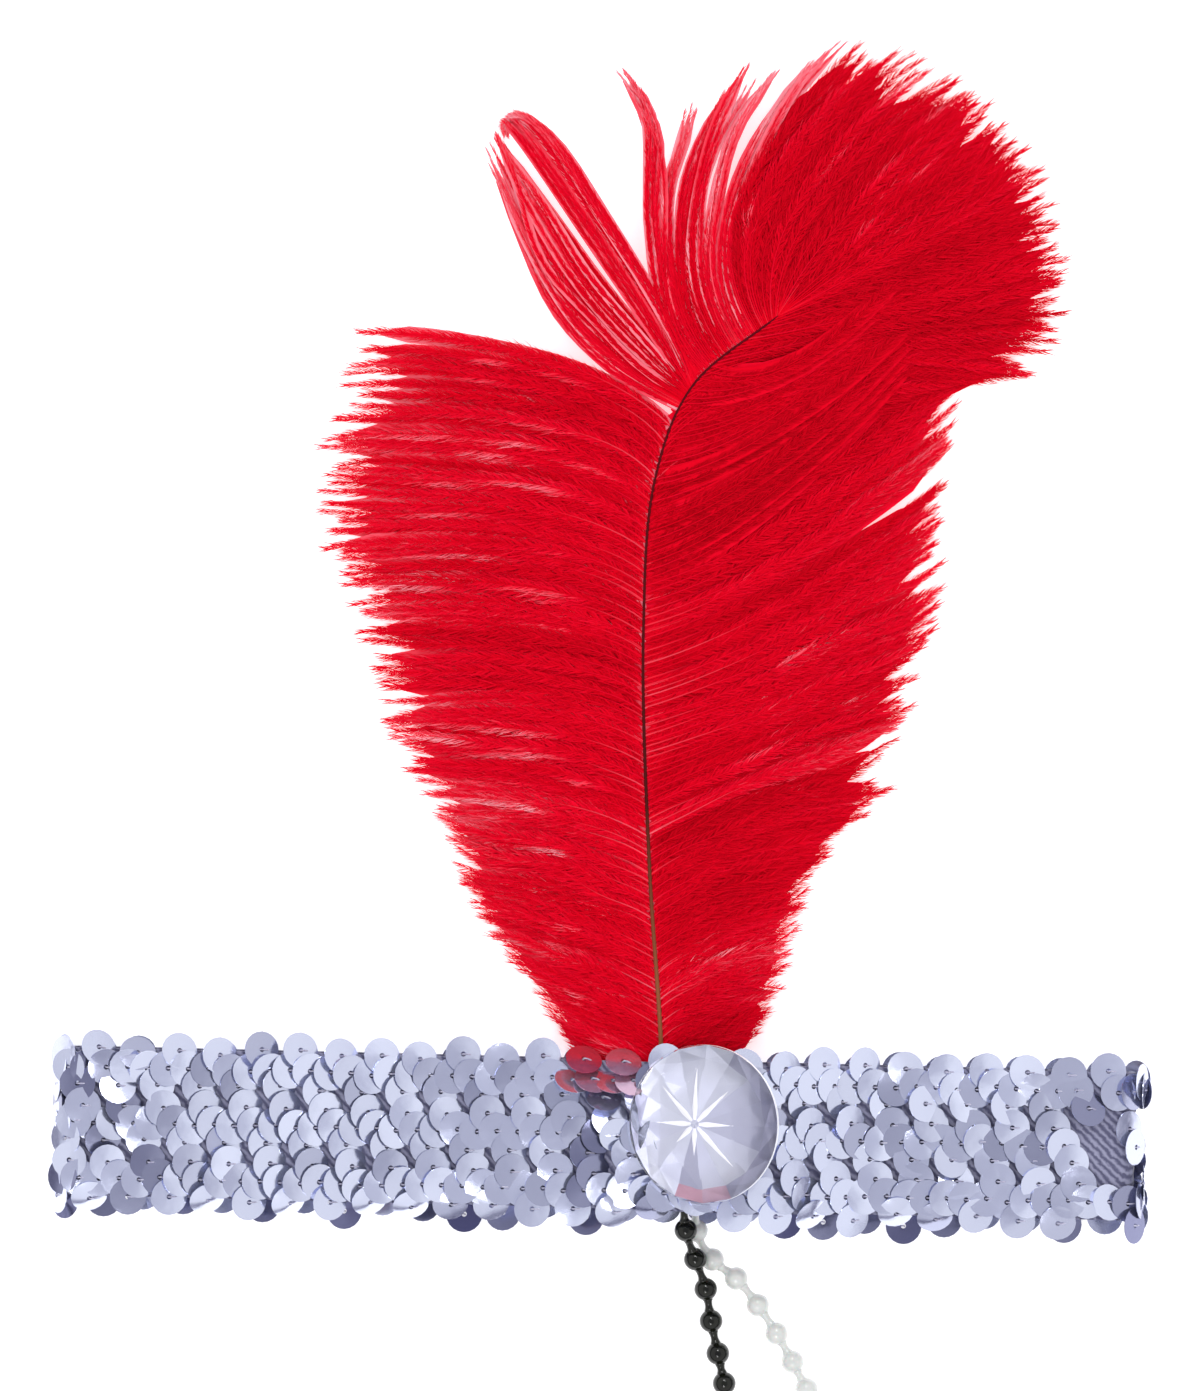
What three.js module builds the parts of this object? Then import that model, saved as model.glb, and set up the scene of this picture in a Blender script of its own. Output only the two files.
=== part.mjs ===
// A flapper headband laid flat: a sequined stretch band folded in two layers, a dyed ostrich
// plume and two strings of beads tucked between the layers, and a cut jewel glued to the front.
// Millimetres. x runs along the band, y towards the plume's tip and z up, and the underside is z = 0.
import * as THREE from 'three';
import { ConvexGeometry } from 'three/addons/geometries/ConvexGeometry.js';

// Clearance between pieces that touch on the real thing.
const GAP = 0.3;

// The folded loop: its outer face over the sequins, and the knit inside it.
const BAND = {
  halfLength: 115,
  height: 13,
  knitWidth: 33,
  knitWall: 1.2,
  straightColumns: 50,
  endColumns: 6,
};

// The front layer rises over the quill and the ends of the bead strings.
const BULGE = { x: 33, rise: 8, leftSpread: 24, rightSpread: 16 };

// Three zigzag rows of sequins, each a raised ridge with a valley on both sides.
const SEQUINS = {
  width: 38,
  depth: 2,
  valley: 1.1,
  rows: [-1, 0, 1],
  rowPitch: 11.6,
  ridge: 6.4,
  zigzag: 2.2,
};

// The jewel sits on its flat back, with one edge on the sequins and its face leaning to -x.
const JEWEL = {
  x: 22,
  y: 3.4,
  tiltDeg: 22,
  radius: 16.5,
  backRadius: 16.2,
  girdleLow: 0.8,
  girdleHigh: 1.8,
  crownRadius: 12.6,
  crownHeight: 4.38,
  tableRadius: 8.6,
  tableHeight: 6,
  sides: 8,
};
const JEWEL_PAD = { rings: [3, 6, 9], sides: 12 };

// The plume's shaft, from its tucked end inside the band to where the tip barbs hide it.
const QUILL = { baseRadius: 0.8, tipRadius: 0.35, sides: 8, steps: 32 };
const QUILL_ROUTE = [
  { x: 13.5, y: -12, z: 11.7 },
  { x: 12.3, y: 19, z: 11.5 },
  { x: 9, y: 56, z: 10 },
  { x: 6.5, y: 106, z: 9 },
  { x: 8.2, y: 138, z: 10 },
  { x: 15.5, y: 157.5, z: 12 },
  { x: 33, y: 172.5, z: 15 },
];

// A barb leaves the quill halfway between its own side and the quill's direction, then droops.
// A barb of the full length has the full arch and thickness, and a short one has less.
const BARB = { leave: 0.5, straight: 0.42, fullLength: 55, arch: 3.2, droop: 1.15 };
// Stations along a lock, from its root to its tip, and the lock's thickness there.
const LOCK_STATIONS = [
  { along: 0, thick: 2 },
  { along: 0.25, thick: 3.4 },
  { along: 0.5, thick: 3.4 },
  { along: 0.78, thick: 2.4 },
  { along: 1, thick: 0.9 },
];
const PARTING_THICK = 0.55;

// Each lock of the plume, in order from the band up the left vane, round the tip and down the
// right vane. root is its distance along the quill, side the side of the quill that it grows
// on in degrees, x, y and z the place of its tip, and split how deep the parting after it cuts.
const LOCKS = [
  { root: 21, side: 90, x: -6, y: 24, z: 5.5, split: 0.12 },
  { root: 28, side: 90, x: -11, y: 30, z: 4.5, split: 0.14 },
  { root: 35.5, side: 90, x: -18.5, y: 37, z: 3, split: 0.1 },
  { root: 43.5, side: 90, x: -24, y: 43.5, z: 1.8, split: 0.08 },
  { root: 50, side: 90, x: -28.5, y: 50, z: 1, split: 0.12 },
  { root: 58.5, side: 90, x: -31, y: 58.5, z: 0.5, split: 0.1 },
  { root: 69.5, side: 90, x: -35.5, y: 68.5, z: 0.5, split: 0.12 },
  { root: 81, side: 90, x: -42, y: 78, z: 0.5, split: 0.12 },
  { root: 92.5, side: 90, x: -46, y: 87.5, z: 0.5, split: 0.08 },
  { root: 102.5, side: 90, x: -48.5, y: 96.5, z: 0.5, split: 0.07 },
  { root: 112, side: 90, x: -52, y: 106, z: 0.5, split: 0.12 },
  { root: 120, side: 90, x: -56, y: 115, z: 0.5, split: 0.1 },
  { root: 127, side: 90, x: -60.5, y: 123, z: 0.5, split: 0.14 },
  { root: 136, side: 90, x: -61, y: 133, z: 0.5, split: 0.12 },
  { root: 145, side: 90, x: -60.5, y: 144, z: 0.5, split: 0.09 },
  { root: 153, side: 90, x: -57, y: 154, z: 0.5, split: 0.1 },
  { root: 159, side: 90, x: -55.5, y: 162, z: 0.5, split: 0.12 },
  { root: 163, side: 90, x: -52, y: 168.5, z: 0.5, split: 0.66 },
  { root: 166, side: 90, x: -28.5, y: 203, z: 2, split: 0.3 },
  { root: 169, side: 90, x: -25.5, y: 211, z: 3, split: 0.4 },
  { root: 172, side: 90, x: -14.5, y: 208.5, z: 4, split: 0.5 },
  { root: 175, side: 90, x: 1, y: 223, z: 3, split: 0.62 },
  { root: 178, side: 90, x: 14, y: 216, z: 3, split: 0.42 },
  { root: 181, side: 90, x: 25.5, y: 225, z: 4, split: 0.32 },
  { root: 185, side: 90, x: 36, y: 223, z: 5, split: 0.24 },
  { root: 188, side: 90, x: 45, y: 230, z: 6, split: 0.16 },
  { root: 192, side: 90, x: 58.5, y: 227, z: 7, split: 0.12 },
  { root: 195, side: 50, x: 71, y: 220.5, z: 8, split: 0.1 },
  { root: 195, side: 15, x: 80, y: 214, z: 8, split: 0.08 },
  { root: 195, side: -20, x: 85.5, y: 206, z: 8, split: 0.08 },
  { root: 195, side: -55, x: 88.5, y: 196.5, z: 7, split: 0.08 },
  { root: 188, side: -90, x: 91, y: 188, z: 6, split: 0.07 },
  { root: 178, side: -90, x: 92.5, y: 178.5, z: 5, split: 0.08 },
  { root: 167, side: -90, x: 90, y: 169, z: 4, split: 0.1 },
  { root: 154, side: -90, x: 83, y: 162.5, z: 3, split: 0.2 },
  { root: 130, side: -90, x: 69, y: 158.5, z: 2, split: 0.14 },
  { root: 120, side: -90, x: 69, y: 147, z: 1, split: 0.3 },
  { root: 112, side: -90, x: 67.5, y: 136, z: 0.5, split: 0.1 },
  { root: 106, side: -90, x: 68, y: 127, z: 0.5, split: 0.1 },
  { root: 99, side: -90, x: 67, y: 117, z: 0.5, split: 0.1 },
  { root: 92, side: -90, x: 64.5, y: 107, z: 0.5, split: 0.1 },
  { root: 85, side: -90, x: 62, y: 97.5, z: 0.5, split: 0.08 },
  { root: 78, side: -90, x: 62, y: 88, z: 0.5, split: 0.12 },
  { root: 71, side: -90, x: 59, y: 79, z: 0.5, split: 0.08 },
  { root: 64, side: -90, x: 55, y: 71, z: 0.5, split: 0.1 },
  { root: 57, side: -90, x: 48, y: 62, z: 0.5, split: 0.1 },
  { root: 50, side: -90, x: 41.5, y: 53, z: 1, split: 0.1 },
  { root: 44, side: -90, x: 40.5, y: 45, z: 1.8, split: 0.12 },
  { root: 38, side: -90, x: 38.5, y: 37.5, z: 3, split: 0.14 },
  { root: 32, side: -90, x: 34.5, y: 31, z: 4, split: 0.12 },
  { root: 26, side: -90, x: 34, y: 25.5, z: 5, split: 0.12 },
  { root: 20, side: -90, x: 29, y: 21.5, z: 6, split: 0 },
];

// Two strings of beads, from under the front layer to their free ends on the surface.
const BEAD = { radius: 2.4, bore: 1, sides: 12, rows: 7 };
const THREAD = { radius: 0.65, sides: 6, steps: 36, tail: 3.4 };
const STRINGS = [
  {
    name: 'black',
    start: { x: 17.5, y: -8, z: 13.5 },
    beads: [
      { x: 18.5, y: -19.9, z: 9.3 },
      { x: 20.7, y: -26.2, z: 6.1 },
      { x: 23.1, y: -32.7, z: 3.3 },
      { x: 24.4, y: -39.5, z: 2.4 },
      { x: 26, y: -46.3, z: 2.4 },
      { x: 27.5, y: -52.6, z: 2.4 },
    ],
  },
  {
    name: 'pearl',
    start: { x: 21.5, y: -8, z: 14.5 },
    beads: [
      { x: 20.8, y: -20.3, z: 4.6 },
      { x: 24.4, y: -26.5, z: 2.4 },
      { x: 29.5, y: -30.4, z: 2.4 },
      { x: 34.2, y: -35.9, z: 2.4 },
      { x: 38.3, y: -41.8, z: 2.4 },
      { x: 41.8, y: -47.7, z: 2.4 },
      { x: 44.9, y: -53.4, z: 2.4 },
    ],
  },
];

const finish = (color, roughness, metalness) =>
  new THREE.MeshStandardMaterial({ color, roughness, metalness });
const FINISH = {
  knit: finish(0x8f90a6, 0.9, 0),
  sequin: finish(0xb9bbd0, 0.25, 0.8),
  jewel: finish(0xe4e6f4, 0.08, 0.1),
  glue: finish(0xd8d6cc, 0.5, 0),
  quill: finish(0x5a1c12, 0.55, 0),
  plume: finish(0xd40f22, 0.85, 0),
  black: finish(0x14170f, 0.2, 0),
  pearl: finish(0xe8e9e2, 0.3, 0),
};

const radians = THREE.MathUtils.degToRad;
const vector = ({ x, y, z }) => new THREE.Vector3(x, y, z);

// A closed solid from points and triangles, with its faces turned outwards.
function solid(points, faces) {
  const volume = faces.reduce(
    (sum, [a, b, c]) => sum + points[a].dot(points[b].clone().cross(points[c])),
    0,
  );
  const outward = volume > 0 ? faces : faces.map(([a, b, c]) => [a, c, b]);
  const geometry = new THREE.BufferGeometry().setFromPoints(points);
  geometry.setIndex(outward.flat());
  return geometry;
}

// Triangles across an end ring, zipped from its two halves so that thin curved ends close too.
function capFaces(first, count) {
  const faces = [];
  for (let j = 0; j < count / 2 - 1; j++) {
    const [a, b, c, d] = [j, j + 1, count - 2 - j, count - 1 - j].map((n) => first + n);
    faces.push([a, b, c], [a, c, d]);
  }
  return faces;
}

// A solid through rings that all have the same even number of points. A looped one joins its
// last ring to its first, and an open one has a cap at each end.
function loft(rings, looped = false) {
  const count = rings[0].length;
  const faces = [];
  const spans = looped ? rings.length : rings.length - 1;
  for (let i = 0; i < spans; i++) {
    const here = i * count;
    const next = ((i + 1) % rings.length) * count;
    for (let j = 0; j < count; j++) {
      const k = (j + 1) % count;
      faces.push([here + j, next + j, next + k], [here + j, next + k, here + k]);
    }
  }
  if (!looped) {
    faces.push(...capFaces(0, count));
    faces.push(...capFaces((rings.length - 1) * count, count).map(([a, b, c]) => [a, c, b]));
  }
  return solid(rings.flat(), faces);
}

// A round bar along a curve, with its radius worked out from 0 at the start to 1 at the end.
function bar(curve, radiusAt, steps, sides) {
  const frames = curve.computeFrenetFrames(steps);
  const rings = [];
  for (let i = 0; i <= steps; i++) {
    const centre = curve.getPointAt(i / steps);
    const radius = radiusAt(i / steps);
    const ring = [];
    for (let j = 0; j < sides; j++) {
      const angle = (2 * Math.PI * j) / sides;
      const point = centre.clone();
      point.addScaledVector(frames.normals[i], radius * Math.cos(angle));
      point.addScaledVector(frames.binormals[i], radius * Math.sin(angle));
      ring.push(point);
    }
    rings.push(ring);
  }
  return loft(rings);
}

// How far the front layer is raised at x.
function bulge(x) {
  const spread = x < BULGE.x ? BULGE.leftSpread : BULGE.rightSpread;
  return BULGE.rise * Math.exp(-(((x - BULGE.x) / spread) ** 2));
}

const frontHeight = (x) => BAND.height + bulge(x);

// The columns of sequins round the loop, as places on its outer face with the way out from each.
function loopColumns() {
  const radius = BAND.height / 2;
  const straight = BAND.halfLength - radius;
  const columns = [];
  const addRun = (way) => {
    for (let i = 0; i < BAND.straightColumns; i++) {
      const x = way * straight * ((2 * i) / BAND.straightColumns - 1);
      columns.push({ x, z: way > 0 ? 0 : frontHeight(x), outX: 0, outZ: -way });
    }
  };
  const addEnd = (way) => {
    for (let i = 0; i < BAND.endColumns; i++) {
      const angle = Math.PI * (i / BAND.endColumns - 0.5);
      const outX = way * Math.cos(angle);
      const outZ = way * Math.sin(angle);
      columns.push({ x: way * straight + radius * outX, z: radius + radius * outZ, outX, outZ });
    }
  };
  addRun(1);
  addEnd(1);
  addRun(-1);
  addEnd(-1);
  return columns;
}

// A wall round the loop, from each column's profile of places across the band and depths.
function loopWall(profileOf) {
  const rings = loopColumns().map(({ x, z, outX, outZ }, index) =>
    profileOf(index).map(
      ({ y, inset }) => new THREE.Vector3(x - outX * inset, y, z - outZ * inset),
    ),
  );
  return loft(rings, true);
}

function bandGeometry() {
  const half = BAND.knitWidth / 2;
  const outer = SEQUINS.depth + GAP;
  const inner = outer + BAND.knitWall;
  const section = [
    { y: -half, inset: outer },
    { y: half, inset: outer },
    { y: half, inset: inner },
    { y: -half, inset: inner },
  ];
  return loopWall(() => section);
}

// The rows step up and down by turns from column to column, and the edges step with them.
function sequinGeometry() {
  return loopWall((index) => {
    const shift = index % 2 ? SEQUINS.zigzag : -SEQUINS.zigzag;
    const low = -SEQUINS.width / 2 + Math.max(shift, 0);
    const high = SEQUINS.width / 2 + Math.min(shift, 0);
    const profile = [{ y: low, inset: SEQUINS.valley }];
    for (const row of SEQUINS.rows) {
      const centre = row * SEQUINS.rowPitch + shift;
      if (row !== SEQUINS.rows[0]) {
        profile.push({ y: centre - SEQUINS.rowPitch / 2, inset: SEQUINS.valley });
      }
      profile.push({ y: centre - SEQUINS.ridge / 2, inset: 0 });
      profile.push({ y: centre + SEQUINS.ridge / 2, inset: 0 });
    }
    profile.push({ y: high, inset: SEQUINS.valley });
    profile.push({ y: high, inset: SEQUINS.depth });
    profile.push({ y: low, inset: SEQUINS.depth });
    return profile;
  });
}

// The height of the jewel's back at its centre, with its low edge just clear of the sequins.
function jewelHeight() {
  const tilt = radians(JEWEL.tiltDeg);
  const lowEdge = JEWEL.x - JEWEL.radius * Math.cos(tilt);
  return frontHeight(lowEdge) + GAP + JEWEL.radius * Math.sin(tilt);
}

// A flat-backed round cut: girdle, star points halfway up the crown and an eight-sided table.
function jewelGeometry() {
  const points = [];
  const addRing = (count, radius, z, turn) => {
    for (let i = 0; i < count; i++) {
      const angle = (2 * Math.PI * (i + turn)) / count;
      points.push(new THREE.Vector3(radius * Math.cos(angle), radius * Math.sin(angle), z));
    }
  };
  addRing(2 * JEWEL.sides, JEWEL.backRadius, 0, 0);
  addRing(2 * JEWEL.sides, JEWEL.radius, JEWEL.girdleLow, 0);
  addRing(2 * JEWEL.sides, JEWEL.radius, JEWEL.girdleHigh, 0);
  addRing(JEWEL.sides, JEWEL.crownRadius, JEWEL.crownHeight, 0.5);
  addRing(JEWEL.sides, JEWEL.tableRadius, JEWEL.tableHeight, 0);
  return new ConvexGeometry(points);
}

// The pad fills from the sequins up to the jewel's back.
function padGeometry() {
  const slope = Math.tan(radians(JEWEL.tiltDeg));
  const ring = (radius, heightAt) => {
    const points = [];
    for (let i = 0; i < JEWEL_PAD.sides; i++) {
      const angle = (2 * Math.PI * i) / JEWEL_PAD.sides;
      const x = JEWEL.x + radius * Math.cos(angle);
      points.push(new THREE.Vector3(x, JEWEL.y + radius * Math.sin(angle), heightAt(x)));
    }
    return points;
  };
  const low = (x) => frontHeight(x) + GAP;
  const high = (x) => jewelHeight() + slope * (x - JEWEL.x) - GAP;
  const lower = JEWEL_PAD.rings.map((radius) => ring(radius, low));
  const upper = [...JEWEL_PAD.rings].reverse().map((radius) => ring(radius, high));
  return loft([...lower, ...upper]);
}

const quillCurve = new THREE.CatmullRomCurve3(QUILL_ROUTE.map(vector));
const quillLength = quillCurve.getLength();
const quillRadius = (part) => THREE.MathUtils.lerp(QUILL.baseRadius, QUILL.tipRadius, part);

// One strand across the vane as a flat ring, its upper face out to the tip and its lower face
// back. reach is the part of the strand that is left before a parting cuts it off.
function strand({ root, side, x, y, z }, reach, thickness) {
  const part = Math.min(root / quillLength, 1);
  const axis = quillCurve.getPointAt(part);
  const tangent = quillCurve.getTangentAt(part).setZ(0).normalize();
  const turned = (degrees) =>
    tangent.clone().applyAxisAngle(new THREE.Vector3(0, 0, 1), radians(degrees));
  const start = axis.clone().addScaledVector(turned(side), quillRadius(part) + GAP);
  const tip = new THREE.Vector3(x, y, 0);
  const length = Math.hypot(x - start.x, y - start.y);
  const bend = start.clone().addScaledVector(turned(side * BARB.leave), BARB.straight * length);
  const path = new THREE.QuadraticBezierCurve3(start.setZ(0), bend.setZ(0), tip);
  const fullness = Math.min(length / BARB.fullLength, 1);
  const arch = BARB.arch * fullness ** 2;
  const upper = [];
  const lower = [];
  for (const { along, thick } of LOCK_STATIONS) {
    const t = along * reach;
    const half = (thick * thickness * fullness) / 2;
    const fall = THREE.MathUtils.lerp(axis.z, z, t ** BARB.droop);
    const middle = Math.max(fall + arch * Math.sin(Math.PI * t), half);
    const place = path.getPoint(t);
    upper.push(place.clone().setZ(middle + half));
    lower.unshift(place.clone().setZ(middle - half));
  }
  return [...upper, ...lower];
}

// The vane is one strip of strands round the quill: a thick one along the middle of each lock
// and a thin shorter one in each parting.
function plumeGeometry() {
  const rings = [];
  LOCKS.forEach((lock, i) => {
    rings.push(strand(lock, 1, 1));
    const after = LOCKS[i + 1];
    if (!after) return;
    const between = {};
    for (const key of ['root', 'side', 'x', 'y', 'z']) between[key] = (lock[key] + after[key]) / 2;
    rings.push(strand(between, 1 - lock.split, PARTING_THICK));
  });
  return loft(rings);
}

// A round bead about the z axis with a bore for its thread.
function beadGeometry() {
  const rise = Math.acos(BEAD.bore / BEAD.radius);
  const profile = [];
  for (let i = 0; i <= BEAD.rows; i++) {
    const angle = rise * ((2 * i) / BEAD.rows - 1);
    profile.push(new THREE.Vector2(Math.cos(angle), Math.sin(angle)).multiplyScalar(BEAD.radius));
  }
  profile.push(profile[0].clone());
  return new THREE.LatheGeometry(profile, BEAD.sides);
}

function piece(name, geometry, material) {
  const mesh = new THREE.Mesh(geometry, material);
  mesh.name = name;
  return mesh;
}

// A thread through all its beads, and the beads turned to lie along it.
function beadString({ name, start, beads }) {
  const string = new THREE.Group();
  const centres = beads.map(vector);
  const [before, last] = centres.slice(-2);
  const tail = last.clone().sub(before).setLength(THREAD.tail).add(last);
  const curve = new THREE.CatmullRomCurve3([vector(start), ...centres, tail]);
  const thread = bar(curve, () => THREAD.radius, THREAD.steps, THREAD.sides);
  string.add(piece(`${name}_thread`, thread, FINISH[name]));
  centres.forEach((centre, i) => {
    const bead = piece(`${name}_bead_${i + 1}`, beadGeometry(), FINISH[name]);
    const along = curve.getTangent((i + 1) / (centres.length + 1));
    bead.quaternion.setFromUnitVectors(new THREE.Vector3(0, 1, 0), along);
    bead.position.copy(centre);
    string.add(bead);
  });
  return string;
}

const headband = new THREE.Group();
headband.add(piece('band', bandGeometry(), FINISH.knit));
headband.add(piece('sequins', sequinGeometry(), FINISH.sequin));
headband.add(piece('jewel_pad', padGeometry(), FINISH.glue));

const jewel = piece('jewel', jewelGeometry(), FINISH.jewel);
jewel.position.set(JEWEL.x, JEWEL.y, jewelHeight());
jewel.rotation.y = -radians(JEWEL.tiltDeg);
headband.add(jewel);

const quill = bar(quillCurve, quillRadius, QUILL.steps, QUILL.sides);
headband.add(piece('quill', quill, FINISH.quill));
headband.add(piece('plume', plumeGeometry(), FINISH.plume));
for (const string of STRINGS) headband.add(beadString(string));

export default headband;
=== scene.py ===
"""Looks of a flapper headband that lies flat.

A loop of sequined stretch knit is folded in two layers. A dyed ostrich plume and two strings of
beads are tucked between the layers, and a cut jewel is glued to the front. Sizes are in
millimetres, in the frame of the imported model, and become metres where a mesh is made.
"""

import logging
import math
from collections.abc import Sequence
from dataclasses import dataclass, field
from enum import Enum

import bpy
import numpy as np
from numpy.typing import NDArray
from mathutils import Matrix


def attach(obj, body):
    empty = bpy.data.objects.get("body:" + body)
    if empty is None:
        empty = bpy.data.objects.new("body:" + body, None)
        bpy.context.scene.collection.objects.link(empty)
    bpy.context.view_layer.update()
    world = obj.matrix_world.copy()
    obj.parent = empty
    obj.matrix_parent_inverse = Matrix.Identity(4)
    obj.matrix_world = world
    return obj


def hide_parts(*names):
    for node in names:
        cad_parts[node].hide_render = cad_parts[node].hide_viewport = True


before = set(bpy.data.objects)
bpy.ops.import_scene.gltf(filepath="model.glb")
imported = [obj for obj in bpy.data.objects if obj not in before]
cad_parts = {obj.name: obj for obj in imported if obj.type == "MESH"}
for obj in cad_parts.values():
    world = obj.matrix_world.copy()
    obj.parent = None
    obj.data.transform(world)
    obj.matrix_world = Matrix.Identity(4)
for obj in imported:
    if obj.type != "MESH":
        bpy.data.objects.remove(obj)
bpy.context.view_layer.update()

Array = NDArray[np.float64]
Faces = NDArray[np.int64]
Flags = NDArray[np.bool_]
Colour = tuple[float, float, float]
Point = tuple[float, float, float]
Stops = Sequence[tuple[float, Colour]]

MM = 0.001
UP = np.array([0.0, 0.0, 1.0])
LOG = logging.getLogger("headband")

# Points worked out between two stations of a smooth route.
SPAN_STEPS = 60


def unit(vectors: Array) -> Array:
    """Returns the vectors scaled to length one along the last axis."""
    return vectors / np.linalg.norm(vectors, axis=-1, keepdims=True)


def within(values: Array, limits: tuple[float, float]) -> Flags:
    """Returns which values lie between two limits."""
    return (values > limits[0]) & (values < limits[1])


def grid_faces(
    rows: int,
    columns: int,
    closed_rows: bool = False,
    closed_columns: bool = False,
) -> Faces:
    """Joins a grid of points with four-sided faces.

    Args:
        rows: Number of rows of points.
        columns: Number of points in each row.
        closed_rows: Whether the last row joins the first.
        closed_columns: Whether the last point of a row joins its first.

    Returns:
        One line of four point numbers for each face.
    """
    i, j = np.meshgrid(
        np.arange(rows if closed_rows else rows - 1),
        np.arange(columns if closed_columns else columns - 1),
        indexing="ij",
    )
    below = (i + 1) % rows * columns
    beside = (j + 1) % columns
    corners = [i * columns + j, below + j, below + beside, i * columns + beside]
    return np.stack(corners, -1).reshape(-1, 4)


def flat_ring(count: int, radius: float, z: float, turn: float = 0.0) -> Array:
    """Returns a ring of points about the vertical, turned by a share of one step."""
    angle = 2 * math.pi * (np.arange(count) + turn) / count
    return np.stack([radius * np.cos(angle), radius * np.sin(angle), np.full(count, z)], -1)


def halved(faces: Faces) -> Faces:
    """Returns four-sided faces cut into three-sided ones."""
    return np.vstack([faces[:, [0, 1, 2]], faces[:, [0, 2, 3]]])


def repeat_faces(faces: Faces, points: int, copies: int) -> Faces:
    """Repeats one small mesh's faces for a row of copies.

    Args:
        faces: The faces of one copy.
        points: How many points one copy has.
        copies: How many copies there are.

    Returns:
        The faces of all the copies.
    """
    shifted = faces[None] + np.arange(copies)[:, None, None] * points
    return shifted.reshape(-1, faces.shape[1])


def smooth_route(stations: Array, count: int) -> Array:
    """Runs a smooth curve through stations, at even steps of its length.

    Args:
        stations: The places that the curve goes through.
        count: How many points to return.

    Returns:
        Points on a centripetal Catmull-Rom curve, evenly spaced.
    """
    ends = [2 * stations[0] - stations[1], *stations, 2 * stations[-1] - stations[-2]]
    fine = []
    for a, b, c, d in zip(ends, ends[1:], ends[2:], ends[3:]):
        steps = [math.sqrt(np.linalg.norm(q - p)) for p, q in ((a, b), (b, c), (c, d))]
        knots = np.cumsum([0.0, *steps])
        t = np.linspace(knots[1], knots[2], SPAN_STEPS, endpoint=False)[:, None]

        def between(p: Array, q: Array, low: float, high: float) -> Array:
            """Returns the blend of p and q over the stretch from low to high."""
            return ((high - t) * p + (t - low) * q) / (high - low)

        first = between(between(a, b, *knots[:2]), between(b, c, *knots[1:3]), knots[0], knots[2])
        last = between(between(b, c, *knots[1:3]), between(c, d, *knots[2:]), knots[1], knots[3])
        fine.append(between(first, last, knots[1], knots[2]))
    line = np.vstack([*fine, stations[-1:]])
    gaps = np.linalg.norm(np.diff(line, axis=0), axis=1)
    travelled = np.concatenate([[0.0], np.cumsum(gaps)])
    even = np.linspace(0.0, travelled[-1], count)
    return np.stack([np.interp(even, travelled, line[:, axis]) for axis in range(3)], -1)


def drawn_in(count: int, steepness: float, least: float = 0.02) -> Array:
    """Works out how the ends of a bar are drawn in.

    Args:
        count: How many points the bar has along it.
        steepness: How soon the bar is at its full radius.
        least: The square of the share that is left at the very ends.

    Returns:
        The share of its radius that the bar has at each point.
    """
    part = np.linspace(0.0, 1.0, count)
    return np.minimum(1.0, np.sqrt(np.minimum(part, 1 - part) * steepness + least))


def tube(route: Array, radii: Array, sides: int) -> tuple[Array, Faces]:
    """Makes a round bar along a route.

    Args:
        route: Points along the middle.
        radii: Radius at each point.
        sides: Number of sides.

    Returns:
        Points and four-sided faces, with both ends open.
    """
    along = unit(np.gradient(route, axis=0))
    across = unit(np.cross(along, UP))
    over = np.cross(across, along)
    turn = np.linspace(0.0, 2 * math.pi, sides, endpoint=False)
    ring = np.cos(turn)[:, None] * across[:, None] + np.sin(turn)[:, None] * over[:, None]
    points = route[:, None] + ring * radii[:, None, None]
    return points.reshape(-1, 3), grid_faces(len(route), sides, closed_columns=True)


def new_object(
    name: str,
    points: Array,
    faces: Faces | list[list[int]],
    crease: float | None = None,
    tone: Array | None = None,
) -> bpy.types.Object:
    """Makes a mesh object.

    Args:
        name: The piece's name.
        points: Points in millimetres.
        faces: Faces, as one array of equal faces or a list of mixed ones.
        crease: Angle in degrees above which an edge stays sharp, or None for flat faces.
        tone: A number for each point that its finish reads, if any.

    Returns:
        The new object, linked to the scene.
    """
    mesh = bpy.data.meshes.new(name)
    if isinstance(faces, list):
        mesh.from_pydata((points * MM).tolist(), [], faces)
    else:
        mesh.vertices.add(len(points))
        mesh.vertices.foreach_set("co", (points * MM).ravel())
        mesh.loops.add(faces.size)
        mesh.loops.foreach_set("vertex_index", faces.ravel())
        mesh.polygons.add(len(faces))
        mesh.polygons.foreach_set("loop_start", np.arange(0, faces.size, faces.shape[1]))
        mesh.update(calc_edges=True)
    mesh.polygons.foreach_set("use_smooth", np.full(len(mesh.polygons), crease is not None))
    if crease is not None:
        mesh.set_sharp_from_angle(angle=math.radians(crease))
    if tone is not None:
        column = mesh.attributes.new("tone", "FLOAT", "POINT")
        column.data.foreach_set("value", tone.ravel())
    piece = bpy.data.objects.new(name, mesh)
    bpy.context.scene.collection.objects.link(piece)
    return piece


def dress(
    piece: bpy.types.Object,
    material: bpy.types.Material,
    slot: str,
    *nodes: str,
) -> bpy.types.Object:
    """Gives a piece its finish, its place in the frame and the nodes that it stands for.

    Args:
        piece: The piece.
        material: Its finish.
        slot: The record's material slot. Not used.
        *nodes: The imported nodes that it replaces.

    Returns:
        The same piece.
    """
    piece.data.materials.append(material)
    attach(piece, "root")
    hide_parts(*nodes)
    return piece


def fill_ramp(node: bpy.types.Node, stops: Stops) -> None:
    """Sets a colour ramp's stops.

    Args:
        node: The colour ramp.
        stops: Places from 0 to 1 and their colours.
    """
    elements = node.color_ramp.elements
    elements.remove(elements[1])
    for index, (position, colour) in enumerate(stops):
        element = elements[0] if index == 0 else elements.new(position)
        element.position = position
        element.color = (*colour, 1.0)


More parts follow.
